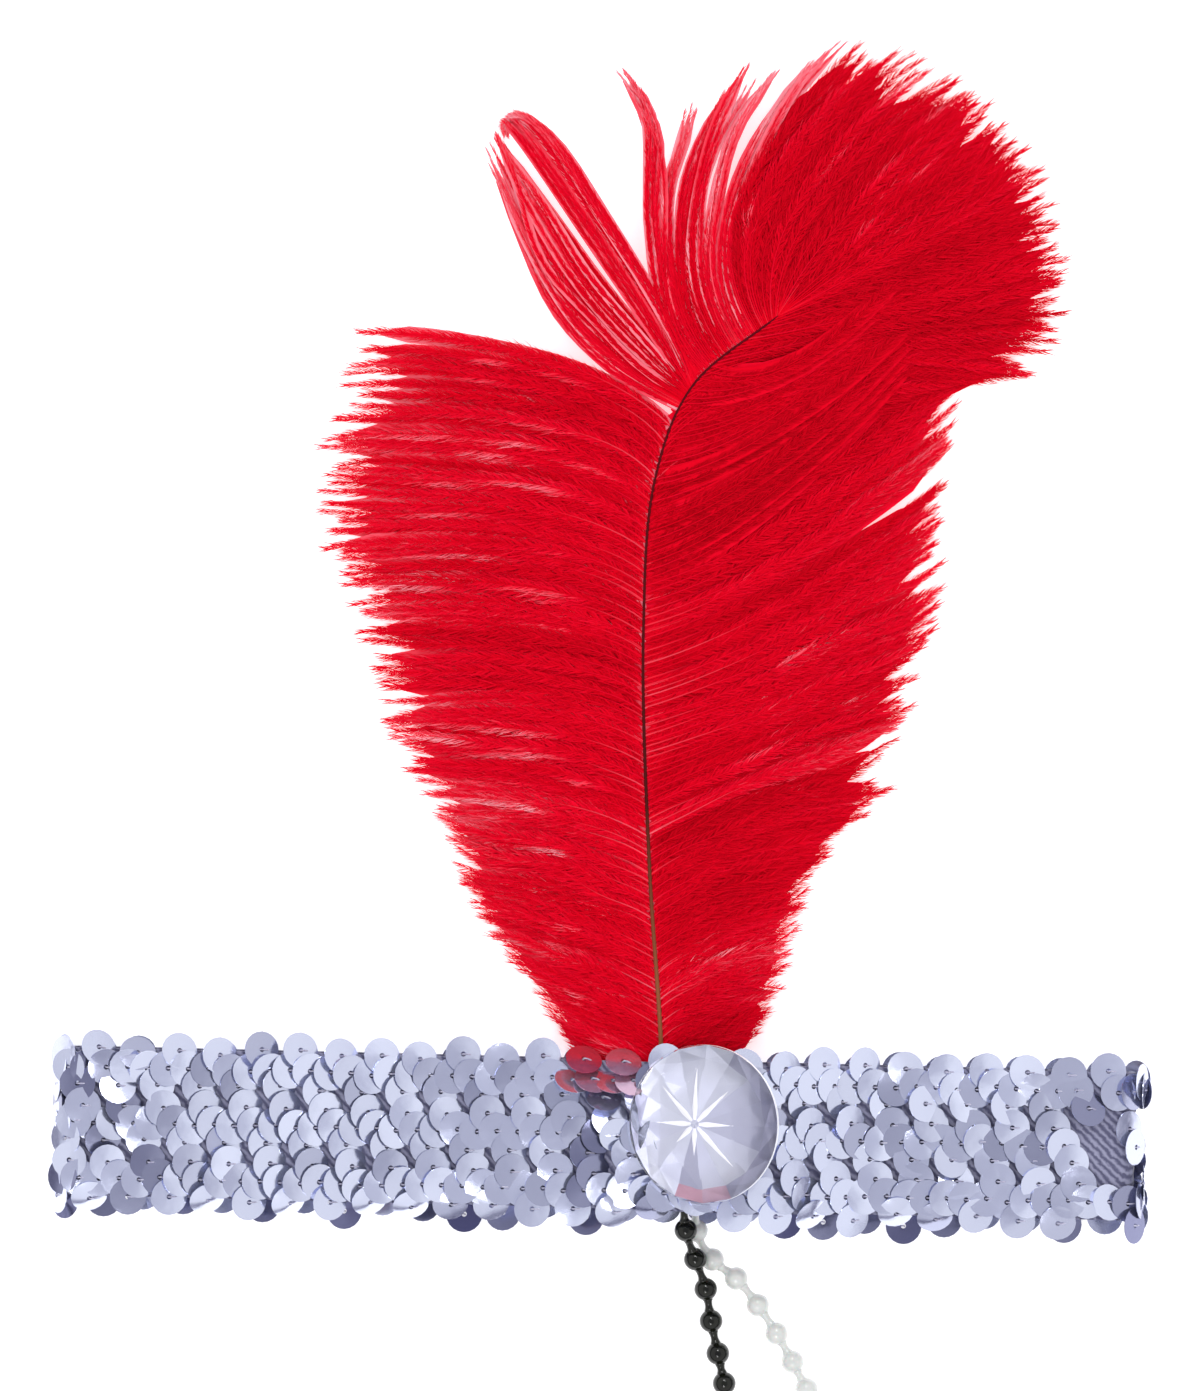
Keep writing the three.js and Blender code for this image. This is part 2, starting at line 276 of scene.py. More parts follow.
class Shader:
    """A material's nodes, with short calls that add to them."""

    def __init__(self, name: str, **sockets: object) -> None:
        """Starts a material.

        Args:
            name: The material's name.
            **sockets: Plain values of the main shader's sockets, with _ for a space.
        """
        self.material = bpy.data.materials.new(name)
        self.material.use_nodes = True
        self.nodes = self.material.node_tree.nodes
        self.links = self.material.node_tree.links
        self.body = self.nodes["Principled BSDF"]
        for socket, value in sockets.items():
            self.body.inputs[socket.replace("_", " ")].default_value = value

    def add(self, kind: str, **inputs: object) -> bpy.types.Node:
        """Adds a node.

        Args:
            kind: The node's type.
            **inputs: Plain values or other nodes' outputs for its inputs, with _ for a space.

        Returns:
            The new node.
        """
        node = self.nodes.new(kind)
        for name, value in inputs.items():
            self.feed(node.inputs[name.replace("_", " ")], value)
        return node

    def feed(self, socket: bpy.types.NodeSocket, value: object) -> None:
        """Links another node's output to a socket, or sets a plain value on it."""
        if isinstance(value, bpy.types.NodeSocket):
            self.links.new(value, socket)
        else:
            socket.default_value = value

    def wear(self, socket: str, value: bpy.types.NodeSocket) -> None:
        """Links an output to one of the main shader's sockets."""
        self.links.new(value, self.body.inputs[socket])

    def tone(self) -> bpy.types.NodeSocket:
        """Returns the number that each point of the mesh carries."""
        node = self.add("ShaderNodeAttribute")
        node.attribute_name = "tone"
        return node.outputs["Fac"]

    def place(self) -> bpy.types.NodeSocket:
        """Returns the place on the object, in metres."""
        return self.add("ShaderNodeTexCoord").outputs["Object"]

    def noise(self, scale: float, detail: float = 2.0) -> bpy.types.NodeSocket:
        """Returns a noise of that many waves to the metre."""
        node = self.add("ShaderNodeTexNoise", Vector=self.place(), Scale=scale, Detail=detail)
        return node.outputs["Fac"]

    def ramp(self, factor: bpy.types.NodeSocket, stops: Stops) -> bpy.types.NodeSocket:
        """Adds a colour ramp.

        Args:
            factor: Where on the ramp to read.
            stops: Places from 0 to 1 and their colours.

        Returns:
            The colour.
        """
        node = self.add("ShaderNodeValToRGB", Fac=factor)
        fill_ramp(node, stops)
        return node.outputs["Color"]

    def range(self, factor: bpy.types.NodeSocket, low: float, high: float) -> bpy.types.NodeSocket:
        """Returns a factor from 0 to 1 spread from low to high."""
        node = self.add("ShaderNodeMapRange", Value=factor, To_Min=low, To_Max=high)
        return node.outputs["Result"]

    def bump(self, height: bpy.types.NodeSocket, strength: float, distance: float) -> None:
        """Raises the surface by a height, over a distance in millimetres."""
        node = self.add("ShaderNodeBump", Height=height, Strength=strength, Distance=distance * MM)
        self.wear("Normal", node.outputs["Normal"])


@dataclass(frozen=True)
class SequinFinish:
    """Lavender-silver metallised film."""

    # The darkest colour is painted shade, and the red one is a painted reflection of the plume.
    navy: Colour = (0.09, 0.09, 0.22)
    dull: Colour = (0.60, 0.63, 0.80)
    bright: Colour = (0.74, 0.78, 0.97)
    painted_plume_reflection: Colour = (0.86, 0.10, 0.20)

    def material(self) -> bpy.types.Material:
        """Returns the film, with its tone and gloss a little different on each sequin; navy at the low
        end of the tone is painted shade, and red at the top is a painted reflection of the plume.
        """
        shader = Shader("sequin_film", Metallic=0.85, Roughness=0.16)
        stops = [(0.0, self.navy), (0.25, self.dull), (0.82, self.bright), (1.0, self.painted_plume_reflection)]
        shader.wear("Base Color", shader.ramp(shader.tone(), stops))
        shader.wear("Roughness", shader.range(shader.noise(900.0), 0.1, 0.24))
        shader.bump(shader.noise(420.0, 1.0), 0.12, 0.3)
        return shader.material


@dataclass(frozen=True)
class ThreadFinish:
    """Pale sewing thread that holds the sequins."""

    pale: Colour = (0.62, 0.62, 0.74)
    deep: Colour = (0.32, 0.30, 0.46)

    def material(self) -> bpy.types.Material:
        """Returns the thread, with fine twist in its colour."""
        shader = Shader("sewing_thread", Roughness=0.45, Sheen_Weight=0.3)
        stops = [(0.3, self.deep), (0.7, self.pale)]
        shader.wear("Base Color", shader.ramp(shader.noise(2600.0), stops))
        return shader.material


@dataclass(frozen=True)
class KnitFinish:
    """Grey-violet stretch knit."""

    deep: Colour = (0.10, 0.10, 0.18)
    pale: Colour = (0.30, 0.30, 0.43)

    def material(self) -> bpy.types.Material:
        """Returns the knit, with loops about a millimetre wide."""
        shader = Shader("stretch_knit", Roughness=0.85, Sheen_Weight=0.35, Sheen_Roughness=0.4)
        loops = shader.add(
            "ShaderNodeTexWave",
            Vector=shader.place(),
            Scale=330.0,
            Distortion=2.5,
            Detail=2.0,
            Detail_Scale=3.0,
        )
        loops.bands_direction = "DIAGONAL"
        stops = [(0.1, self.deep), (0.9, self.pale)]
        shader.wear("Base Color", shader.ramp(loops.outputs["Fac"], stops))
        shader.bump(loops.outputs["Fac"], 0.8, 0.25)
        return shader.material


@dataclass(frozen=True)
class StoneFinish:
    """Clear cut acrylic."""

    tint: Colour = (0.97, 0.97, 1.0)

    def material(self) -> bpy.types.Material:
        """Returns the acrylic, with faint handling haze."""
        shader = Shader(
            "jewel_acrylic",
            Base_Color=(*self.tint, 1.0),
            Transmission_Weight=1.0,
            IOR=1.49,
        )
        shader.wear("Roughness", shader.range(shader.noise(260.0), 0.0, 0.03))
        return shader.material


@dataclass(frozen=True)
class FoilFinish:
    """Silver foil on the jewel's back."""

    painted_plume_rose: Colour = (0.70, 0.40, 0.50)
    shade: Colour = (0.44, 0.44, 0.60)
    light: Colour = (0.76, 0.78, 0.88)

    def material(self) -> bpy.types.Material:
        """Returns the foil, each facet with its own tone; the rose is a painted reflection of the plume,
        and the shade colour is painted shade.
        """
        shader = Shader("jewel_foil", Metallic=1.0)
        stops = [(0.05, self.painted_plume_rose), (0.15, self.shade), (1.0, self.light)]
        shader.wear("Base Color", shader.ramp(shader.tone(), stops))
        shader.wear("Roughness", shader.range(shader.noise(500.0), 0.35, 0.5))
        return shader.material


@dataclass(frozen=True)
class RayFinish:
    """Folds of the foil that show as the jewel's star, white with a painted highlight and a faint
    painted glow.
    """

    edge: Colour = (0.86, 0.86, 0.92)
    painted_highlight: Colour = (0.98, 0.98, 0.99)

    def material(self) -> bpy.types.Material:
        """Returns the fold, with a painted highlight whitest along its middle and a faint painted glow.
        """
        shader = Shader(
            "jewel_ray_painted_highlight",
            Roughness=0.35,
            Coat_Weight=0.4,
            Emission_Color=(*self.painted_highlight, 1.0),
            Emission_Strength=0.3,
        )
        stops = [(0.0, self.edge), (1.0, self.painted_highlight)]
        shader.wear("Base Color", shader.ramp(shader.tone(), stops))
        return shader.material


@dataclass(frozen=True)
class RimHighlightFinish:
    """A painted highlight round the stone's rim, with a faint painted glow."""

    dull: Colour = (0.84, 0.85, 0.93)
    bright: Colour = (0.95, 0.96, 1.0)

    def material(self) -> bpy.types.Material:
        """Returns the painted highlight, whitish and a little uneven, with a faint glow."""
        shader = Shader(
            "jewel_rim_highlight",
            Roughness=0.3,
            Emission_Color=(*self.bright, 1.0),
            Emission_Strength=0.15,
        )
        stops = [(0.3, self.dull), (0.7, self.bright)]
        shader.wear("Base Color", shader.ramp(shader.noise(900.0), stops))
        return shader.material


@dataclass(frozen=True)
class GlueFinish:
    """Set clear glue."""

    pale: Colour = (0.80, 0.79, 0.75)
    cloudy: Colour = (0.66, 0.65, 0.63)

    def material(self) -> bpy.types.Material:
        """Returns the glue, cloudy in places."""
        shader = Shader("set_glue", Roughness=0.35, Subsurface_Weight=0.3, Subsurface_Scale=0.004)
        stops = [(0.3, self.cloudy), (0.7, self.pale)]
        shader.wear("Base Color", shader.ramp(shader.noise(350.0), stops))
        shader.bump(shader.noise(240.0), 0.3, 0.4)
        return shader.material


@dataclass(frozen=True)
class QuillFinish:
    """Dyed horn, tan at the base and dark red above."""

    tan: Colour = (0.26, 0.085, 0.035)
    brown: Colour = (0.07, 0.006, 0.005)
    red: Colour = (0.10, 0.0, 0.005)

    def material(self) -> bpy.types.Material:
        """Returns the horn, its colour following the shaft, with fine grain along it."""
        shader = Shader("quill_horn", Roughness=0.55, Specular_IOR_Level=0.08)
        stops = [(0.0, self.tan), (0.22, self.tan), (0.42, self.brown), (1.0, self.red)]
        shader.wear("Base Color", shader.ramp(shader.tone(), stops))
        shader.bump(shader.noise(1500.0), 0.2, 0.1)
        return shader.material


@dataclass(frozen=True)
class PlumeFinish:
    """Dyed ostrich barbs."""

    shadow: Colour = (0.44, 0.0, 0.006)
    body: Colour = (0.76, 0.0, 0.013)
    light: Colour = (0.89, 0.003, 0.028)
    fringe: Colour = (0.96, 0.11, 0.16)
    pale: Colour = (0.98, 0.36, 0.42)

    def material(self) -> bpy.types.Material:
        """Returns the red of the barbs, deep with painted shade in the down and pale with painted light
        at the fringe.
        """
        shader = Shader("plume_dye", Roughness=0.75, Specular_IOR_Level=0.04)
        # The shadow colour is painted shade, and the fringe and pale colours are painted light.
        stops = [
            (0.0, self.shadow),
            (0.4, self.body),
            (0.65, self.light),
            (0.85, self.fringe),
            (1.0, self.pale),
        ]
        shader.wear("Base Color", shader.ramp(shader.tone(), stops))
        return shader.material


class BeadColour(Enum):
    """The two strings of beads."""

    BLACK = "black"
    PEARL = "pearl"


@dataclass(frozen=True)
class BeadFinish:
    """Glossy moulded plastic, black or with a pearl lustre."""

    colour: BeadColour

    def material(self) -> bpy.types.Material:
        """Returns the plastic, with a soft mottle and slight waves from the mould."""
        if self.colour is BeadColour.BLACK:
            stops = [(0.3, (0.002, 0.0025, 0.001)), (0.7, (0.005, 0.006, 0.002))]
            shader = Shader("black_bead_plastic", Roughness=0.07, Specular_IOR_Level=0.4)
        else:
            stops = [(0.3, (0.60, 0.63, 0.60)), (0.7, (0.70, 0.71, 0.68))]
            shader = Shader(
                "pearl_bead_plastic",
                Roughness=0.3,
                Coat_Weight=0.8,
                Coat_Roughness=0.08,
                Subsurface_Weight=0.15,
                Subsurface_Scale=0.002,
            )
        shader.wear("Base Color", shader.ramp(shader.noise(500.0), stops))
        shader.bump(shader.noise(700.0), 0.1, 0.2)
        return shader.material


@dataclass(frozen=True)
class FloorFinish:
    """Plain white paper."""

    white: Colour = (0.93, 0.93, 0.93)

    def material(self) -> bpy.types.Material:
        """Returns the paper."""
        shader = Shader(
            "white_paper",
            Base_Color=(*self.white, 1.0),
            Roughness=0.9,
            Specular_IOR_Level=0.1,
            Emission_Color=(1.0, 1.0, 1.0, 1.0),
            Emission_Strength=0.5,
        )
        return shader.material


@dataclass(frozen=True)
class Loop:
    """The folded band's outer line, seen along its width: two runs and two round ends."""

    half_length: float = 115.0
    height: float = 13.0
    bulge_x: float = 33.0
    bulge_rise: float = 8.0
    bulge_left: float = 24.0
    bulge_right: float = 16.0

    @property
    def radius(self) -> float:
        """Returns the round ends' radius."""
        return self.height / 2

    @property
    def straight(self) -> float:
        """Returns half the length of a run."""
        return self.half_length - self.radius

    @property
    def run(self) -> float:
        """Returns the length of a run."""
        return 2 * self.straight

    @property
    def end(self) -> float:
        """Returns the length round one end."""
        return math.pi * self.radius

    @property
    def length(self) -> float:
        """Returns the length once round."""
        return 2 * (self.run + self.end)

    def bulge(self, x: Array) -> Array:
        """Returns how far the front layer is raised at x."""
        spread = np.where(x < self.bulge_x, self.bulge_left, self.bulge_right)
        return self.bulge_rise * np.exp(-(((x - self.bulge_x) / spread) ** 2))

    def place(self, travelled: Array, inset: Array | float) -> tuple[Array, Array, Array]:
        """Finds places round the loop, from the front's left end along the front.

        Args:
            travelled: Distances round the loop.
            inset: How far inside the outer line each place is.

        Returns:
            The places, the ways along the loop and the ways out of it.
        """
        u = np.mod(travelled, self.length)
        front = u < self.run
        back = (u >= self.run + self.end) & (u < 2 * self.run + self.end)
        right = (u >= self.run) & ~back & (u < self.run + self.end)
        x = np.where(front, u - self.straight, self.straight - (u - self.run - self.end))
        step = 0.05
        slope = np.where(front, (self.bulge(x + step) - self.bulge(x - step)) / (2 * step), 0.0)
        right_angle = math.pi / 2 - (u - self.run) / self.radius
        left_angle = -math.pi / 2 - (u - 2 * self.run - self.end) / self.radius
        angle = np.where(right, right_angle, left_angle)
        flat = front | back
        way = np.where(front, 1.0, -1.0)
        out_x = np.where(flat, -slope, np.cos(angle))
        out_z = np.where(flat, way, np.sin(angle))
        zero = np.zeros_like(u)
        out = unit(np.stack([out_x, zero, out_z], -1))
        middle = np.where(right, self.straight, -self.straight)
        place_x = np.where(flat, x, middle + self.radius * np.cos(angle))
        flat_z = np.where(front, self.height + self.bulge(x), 0.0)
        place_z = np.where(flat, flat_z, self.radius * (1 + np.sin(angle)))
        place = np.stack([place_x, zero, place_z], -1) - out * np.broadcast_to(inset, u.shape)[:, None]
        along = np.stack([out[:, 2], zero, -out[:, 0]], -1)
        return place, along, out


class Layer(Enum):
    """The two layers of the folded band."""

    FRONT = "front"
    BACK = "back"


@dataclass
class SequinField:
    """Three zigzag rows of sequins sewn all round the loop, each lapped by the next."""

    loop: Loop

    # One sequin and the thread that holds it.
    radius: float = 3.85
    hole: float = 0.55
    film: float = 0.12
    middle: float = 0.6
    sides: int = 20
    thread_radius: float = 0.16
    thread_sides: int = 5
    stitch_stations: tuple[Point, ...] = (
        (-0.2, 0.0, -0.4),
        (0.05, 0.0, 0.12),
        (0.8, 0.0, 0.2),
        (2.0, 0.0, -0.3),
    )

    # The zigzag rows. A sequin further from the middle than edge_y is one of the edge's.
    rows: tuple[int, ...] = (-1, 0, 1)
    row_pitch: float = 11.6
    row_shift: float = 1.35
    swing: float = 3.6
    turns: int = 56
    depth: float = 2.0
    step_stray: float = 0.08
    across_stray: float = 0.2
    edge_y: float = 13.0
    edge_stray: tuple[float, float] = (-0.5, 0.9)
    back_inset: float = 1.3

    # How they tip along the band, flat or steep about some places with a spread. Where the band
    # falls to the right, they follow its slope by fall_share alone.
    heading_deg: float = 22.0
    heading_stray: float = 0.1
    flat_tilt_deg: float = 11.0
    steep_tilt_deg: float = 23.0
    steep_zones: tuple[tuple[float, float], ...] = ((-65.0, 30.0), (45.0, 12.0))
    stray_tilt_deg: float = 3.8
    least_tilt_deg: float = 5.0
    most_tilt_deg: float = 30.0
    end_tilt_deg: float = 10.0
    fall_share: float = 0.55
    lean_stray: float = 0.05
    seat: float = 0.35
    tilt_rise: float = 0.55

    # Where they are untidy: the ends, the right part and beside the jewel.
    end_x: float = 92.0
    right_x: float = 55.0
    jewel_x: tuple[float, float] = (-3.0, 14.0)
    end_looseness: float = 2.2
    right_looseness: float = 2.0

    # Some hang over the lower edge, some of the back's show under it, some stand up before
    # the plume, some are drawn in where the strings leave, and some are lost at the right end.
    hang: float = 0.5
    hang_share: float = 0.4
    hang_lean: tuple[float, float] = (0.4, 0.9)
    edge_lean: tuple[float, float] = (0.0, 0.3)
    peep_share: float = 0.6
    peep: tuple[float, float] = (1.0, 3.2)
    standing_x: tuple[float, float] = (-6.0, 9.0)
    standing_y: float = 4.0
    standing_lean: tuple[float, float] = (1.05, 1.3)
    exit_x: tuple[float, float] = (13.0, 27.0)
    exit_inset: float = 2.4
    bare_x: float = 101.0
    bare_share: float = 0.3
    bare_end_share: float = 0.6
    bare_facing: tuple[float, float] = (0.1, -0.3)

    # How deep they are cupped, and their tones: from navy at 0 over dull and bright to the
    # plume's red at 1. Navy is painted shade, given to the back's sequins that show under the lower
    # edge, and the red is a painted reflection of the plume on some that stand before it. The ends
    # and the sequins beside the jewel are darkened with painted shade.
    hang_cup: tuple[float, float] = (0.5, 1.0)
    cup: tuple[float, float] = (0.1, 0.3)
    tone_low: float = 0.16
    tone_spread: float = 0.66
    tone_least: float = 0.08
    left_end_shade: float = 0.28
    right_end_shade: float = 0.15
    jewel_shade: float = 0.18
    painted_peep_shade: tuple[float, float] = (0.0, 0.1)
    plume_reflection_share: float = 0.7
    plume_reflection_tone: tuple[float, float] = (0.88, 1.0)

    # How they lap: clearance over the ones below at some spots round the rim, and how many are
    # looked back at.
    clearance: float = 0.16
    rim_spots: int = 16
    most_lift: float = 1.2
    look_back: int = 24
    floor_gap: float = 0.03
    seed: int = 4

    def sew(self, rng: np.random.Generator) -> dict[str, Array]:
        """Sets the sequins out in their rows and picks out those that lie otherwise.

        Args:
            rng: Source of the small irregularities.

        Returns:
            Arrays with a line for each sequin: its place, the band's ways there and its kind.
        """
        steps = np.arange(4 * self.turns)
        row = np.repeat(self.rows, len(steps)).astype(float)
        step = np.tile(steps, len(self.rows))
        count = len(step)
        offset = row * self.row_shift + rng.normal(0.0, self.step_stray, count)
        travelled = np.mod((step + offset) * self.loop.length / len(steps), self.loop.length)
        zigzag = self.swing * np.cos(step * math.pi / 2)
        across = row * self.row_pitch + zigzag + rng.normal(0.0, self.across_stray, count)
        place, along, out = self.loop.place(travelled, self.depth)
        x = place[:, 0]
        front = travelled < self.loop.run
        edge = np.where(np.abs(across) > self.edge_y, np.sign(across), 0.0)
        low = edge < 0
        by_jewel = front & within(x, self.jewel_x)
        hanging = front & low & ((rng.random(count) < self.hang_share) | by_jewel)
        peeping = ~front & low & (rng.random(count) < self.peep_share)
        front_stray = edge * rng.uniform(*self.edge_stray, count) - self.hang * hanging
        back_stray = np.where(edge > 0, -self.back_inset, 0.0)
        across += np.where(front, front_stray, back_stray)
        across -= peeping * rng.uniform(*self.peep, count)
        across += self.exit_inset * (front & low & within(x, self.exit_x))
        return {
            "step": step,
            "travelled": travelled,
            "across": across,
            "place": place,
            "along": along,
            "out": out,
            "front": front,
            "edge": edge,
            "by_jewel": by_jewel,
            "untidy": (np.abs(x) > self.end_x) | by_jewel,
            "hanging": hanging,
            "peeping": peeping,
            "standing": front & within(x, self.standing_x) & (across > self.standing_y),
        }

    def lean(self, table: dict[str, Array], rng: np.random.Generator) -> None:
        """Tips each sequin along and across the band.

        Args:
            table: The sequins, which get their middles and their own axes.
            rng: Source of the small irregularities.
        """
        place, along, out = table["place"], table["along"], table["out"]
        front, edge = table["front"], table["edge"]
        x = place[:, 0]
        count = len(x)
        width = np.zeros_like(along)
        width[:, 1] = 1.0
        heading = -np.radians(self.heading_deg) * np.sin(table["step"] * math.pi / 2)
        heading += rng.normal(0.0, self.heading_stray, count)
        forward = np.cos(heading)[:, None] * along + np.sin(heading)[:, None] * width

        loose = np.where(x > self.right_x, self.right_looseness, 1.0)
        loose = np.where(table["untidy"], self.end_looseness, loose)
        steep = sum(np.exp(-(((x - middle) / spread) ** 4)) for middle, spread in self.steep_zones)
        steeper = (self.steep_tilt_deg - self.flat_tilt_deg) * steep * front
        tilt = np.radians(self.flat_tilt_deg + steeper)
        slope = np.where(front, np.arctan2(out[:, 0], out[:, 2]), 0.0)
        stray = np.radians(rng.normal(0.0, self.stray_tilt_deg, count)) * loose
        tilt += stray - np.where(slope > 0, self.fall_share, 1.0) * slope
        round_end = np.abs(x) > self.loop.straight
        most = np.where(round_end, self.end_tilt_deg, self.most_tilt_deg)
        tilt = np.clip(tilt, np.radians(self.least_tilt_deg), np.radians(most))

        hang_lean = rng.uniform(*self.hang_lean, count)
        edge_lean = rng.uniform(*self.edge_lean, count)
        lean = edge * np.where(table["hanging"], hang_lean, edge_lean)
        lean += rng.normal(0.0, self.lean_stray, count) * loose**1.5
        lean = np.where(table["standing"], rng.uniform(*self.standing_lean, count), lean)
        lean = np.where(front, lean, 0.0)
        normal = unit(out + forward * np.tan(tilt)[:, None] + width * lean[:, None])
        first = unit(along - np.sum(along * normal, -1, keepdims=True) * normal)
        rise = self.seat + self.tilt_rise * self.radius * np.sin(tilt)
        table["normal"] = normal
        table["first"] = first
        table["second"] = np.cross(normal, first)
        table["centre"] = place + out * rise[:, None] + width * table["across"][:, None]

    def tint(self, table: dict[str, Array], rng: np.random.Generator) -> None:
        """Cups each sequin and gives it its tone, with painted shade at the ends, beside the jewel and
        on the back's sequins that show under the lower edge, and a painted reflection of the plume on
        some that stand before it.

        Args:
            table: The sequins, which get the new columns.
            rng: Source of the small irregularities.
        """
        x = table["place"][:, 0]
        peeping = table["peeping"]
        count = len(x)
        hang_cup = rng.uniform(*self.hang_cup, count)
        table["cup"] = np.where(table["hanging"], hang_cup, rng.uniform(*self.cup, count))
        # Painted shade, darkening some sequins at the ends and those beside the jewel.
        painted_shade = np.where(x < 0.0, self.left_end_shade, self.right_end_shade)
        painted_shade = np.where(table["untidy"], painted_shade, 0.0)
        tone = self.tone_low + self.tone_spread * rng.random(count) - painted_shade * rng.random(count)
        tone -= self.jewel_shade * table["by_jewel"]
        # The back's sequins that show under the lower edge get painted shade.
        tone = np.where(peeping, rng.uniform(*self.painted_peep_shade, count), tone)
        # Some that stand before the plume get a painted reflection of its red.
        reflecting_plume = table["standing"] & (rng.random(count) < self.plume_reflection_share)
        tone = np.where(reflecting_plume, rng.uniform(*self.plume_reflection_tone, count), tone)
        table["tone"] = np.where(peeping, tone, np.maximum(tone, self.tone_least))

    def layout(self) -> dict[str, Array]:
        """Works out where each sequin is, how it leans and its tone.

        Returns:
            Arrays with a line for each sequin, in the order of sewing.
        """
        rng = np.random.default_rng(self.seed)
        table = self.sew(rng)
        self.lean(table, rng)
        self.tint(table, rng)
        front, out, travelled = table["front"], table["out"], table["travelled"]
        half_end = self.loop.end / 2
        above = travelled < self.loop.run + half_end
        table["above"] = above | (travelled > self.loop.length - half_end)
        least_x, least_z = self.bare_facing
        right_end = ~front & (out[:, 0] > least_x) & (out[:, 2] > least_z)
        front_end = front & (table["centre"][:, 0] > self.bare_x)
        chance = np.where(right_end, self.bare_end_share, self.bare_share * front_end)
        bare = rng.random(len(travelled)) < chance
        order = np.argsort(travelled)
        order = order[~bare[order]]
        table = {name: column[order] for name, column in table.items()}
        self.lap(table)
        return table

    def lap(self, table: dict[str, Array]) -> None:
        """Lifts each sequin until it clears the ones that it lies over.

        Args:
            table: The sequins in sewing order, whose places are changed.
        """
        turn = np.linspace(0.0, 2 * math.pi, self.rim_spots, endpoint=False)
        rim = self.radius * np.stack([np.cos(turn), np.sin(turn)], -1)
        spots = np.vstack([rim, self.middle * rim])
        centre, normal = table["centre"], table["normal"]
        for i in range(1, len(centre)):
            near = np.arange(max(0, i - self.look_back), i)
            near = near[np.linalg.norm(centre[near] - centre[i], axis=1) < 2 * self.radius]
            axes = np.stack([table["first"][i], table["second"][i]])
            away = (centre[i] + spots @ axes)[None] - centre[near][:, None]
            height = np.sum(away * normal[near][:, None], -1)
            inside = np.sum(away**2, -1) - height**2 < self.radius**2
            short = np.where(inside, self.clearance - height, 0.0)
            centre[i] += table["out"][i] * min(self.most_lift, max(0.0, short.max(initial=0.0)))

    def place_copies(self, shape: Array, table: dict[str, Array]) -> Array:
        """Sets a copy of a small shape on each sequin's own axes.

        Args:
            shape: The shape's points.
            table: The sequins to set it on.

        Returns:
            All the copies' points, none of them under the floor.
        """
        points = table["centre"][:, None]
        for axis, name in enumerate(("first", "second", "normal")):
            points = points + shape[None, :, axis, None] * table[name][:, None]
        reach = (shape[:, :2] ** 2).sum(axis=1) / self.radius**2
        points = points - (table["cup"][:, None] * reach)[..., None] * table["normal"][:, None]
        points[..., 2] = np.maximum(points[..., 2], self.floor_gap)
        return points.reshape(-1, 3)

    def disc(self) -> tuple[Array, Faces]:
        """Returns one sequin's points and faces: a thin disc with a hole."""
        section = [
            (self.hole, 0.0),
            (self.middle * self.radius, 0.0),
            (self.radius, 0.0),
            (self.radius, -self.film),
            (self.hole, -self.film),
        ]
        rings = [flat_ring(self.sides, radius, z) for radius, z in section]
        faces = grid_faces(len(section), self.sides, closed_rows=True, closed_columns=True)
        return np.vstack(rings), faces

    def stitch(self) -> tuple[Array, Faces]:
        """Returns the points and faces of the thread from one sequin's hole to under the next."""
        route = np.array(self.stitch_stations)
        return tube(route, np.full(len(route), self.thread_radius), self.thread_sides)

    def build(self) -> list[bpy.types.Object]:
        """Makes the sequins and their stitches on both layers.

        Returns:
            The new pieces.
        """
        table = self.layout()
        film = SequinFinish().material()
        thread = ThreadFinish().material()
        pieces = []
        for layer in Layer:
            chosen = table["above"] == (layer is Layer.FRONT)
            part = {name: column[chosen] for name, column in table.items()}
            count = int(chosen.sum())
            for name, (shape, faces), material in (
                ("sequins", self.disc(), film),
                ("sequin_stitches", self.stitch(), thread),
            ):
                points = self.place_copies(shape, part)
                tone = np.repeat(part["tone"], len(shape))
                copies = repeat_faces(faces, len(shape), count)
                piece = new_object(f"{name}_{layer.value}", points, copies, crease=40.0, tone=tone)
                pieces.append(dress(piece, material, "sequin", "sequins"))
        return pieces


@dataclass
class KnitBand:
    """The ribbed knit that the sequins are sewn to."""

    loop: Loop
    width: float = 31.0
    outer_inset: float = 2.3
    wall: float = 1.2
    cut_length: float = 461.0
    columns: int = 180
    ribs: int = 24
    rib: float = 0.14

    def build(self) -> list[bpy.types.Object]:
        """Makes the knit.

        Returns:
            The band alone, a closed wall round the loop.
        """
        across = np.linspace(-self.width / 2, self.width / 2, self.ribs)
        ridge = self.rib * np.where(np.arange(self.ribs) % 2, 1.0, 0.0)
        section_y = np.concatenate([across, across[::-1]])
        section_inset = np.concatenate([self.outer_inset + ridge, self.outer_inset + self.wall - ridge])
        travelled = np.linspace(0.0, self.loop.length, self.columns, endpoint=False)
        count = len(section_y)
        places, _, _ = self.loop.place(np.repeat(travelled, count), np.tile(section_inset, self.columns))
        places[:, 1] = np.tile(section_y, self.columns)
        faces = grid_faces(self.columns, count, closed_rows=True, closed_columns=True)
        piece = new_object("knit_band", places, faces, crease=60.0)
        dress(piece, KnitFinish().material(), "knit", "band")
        return [piece]


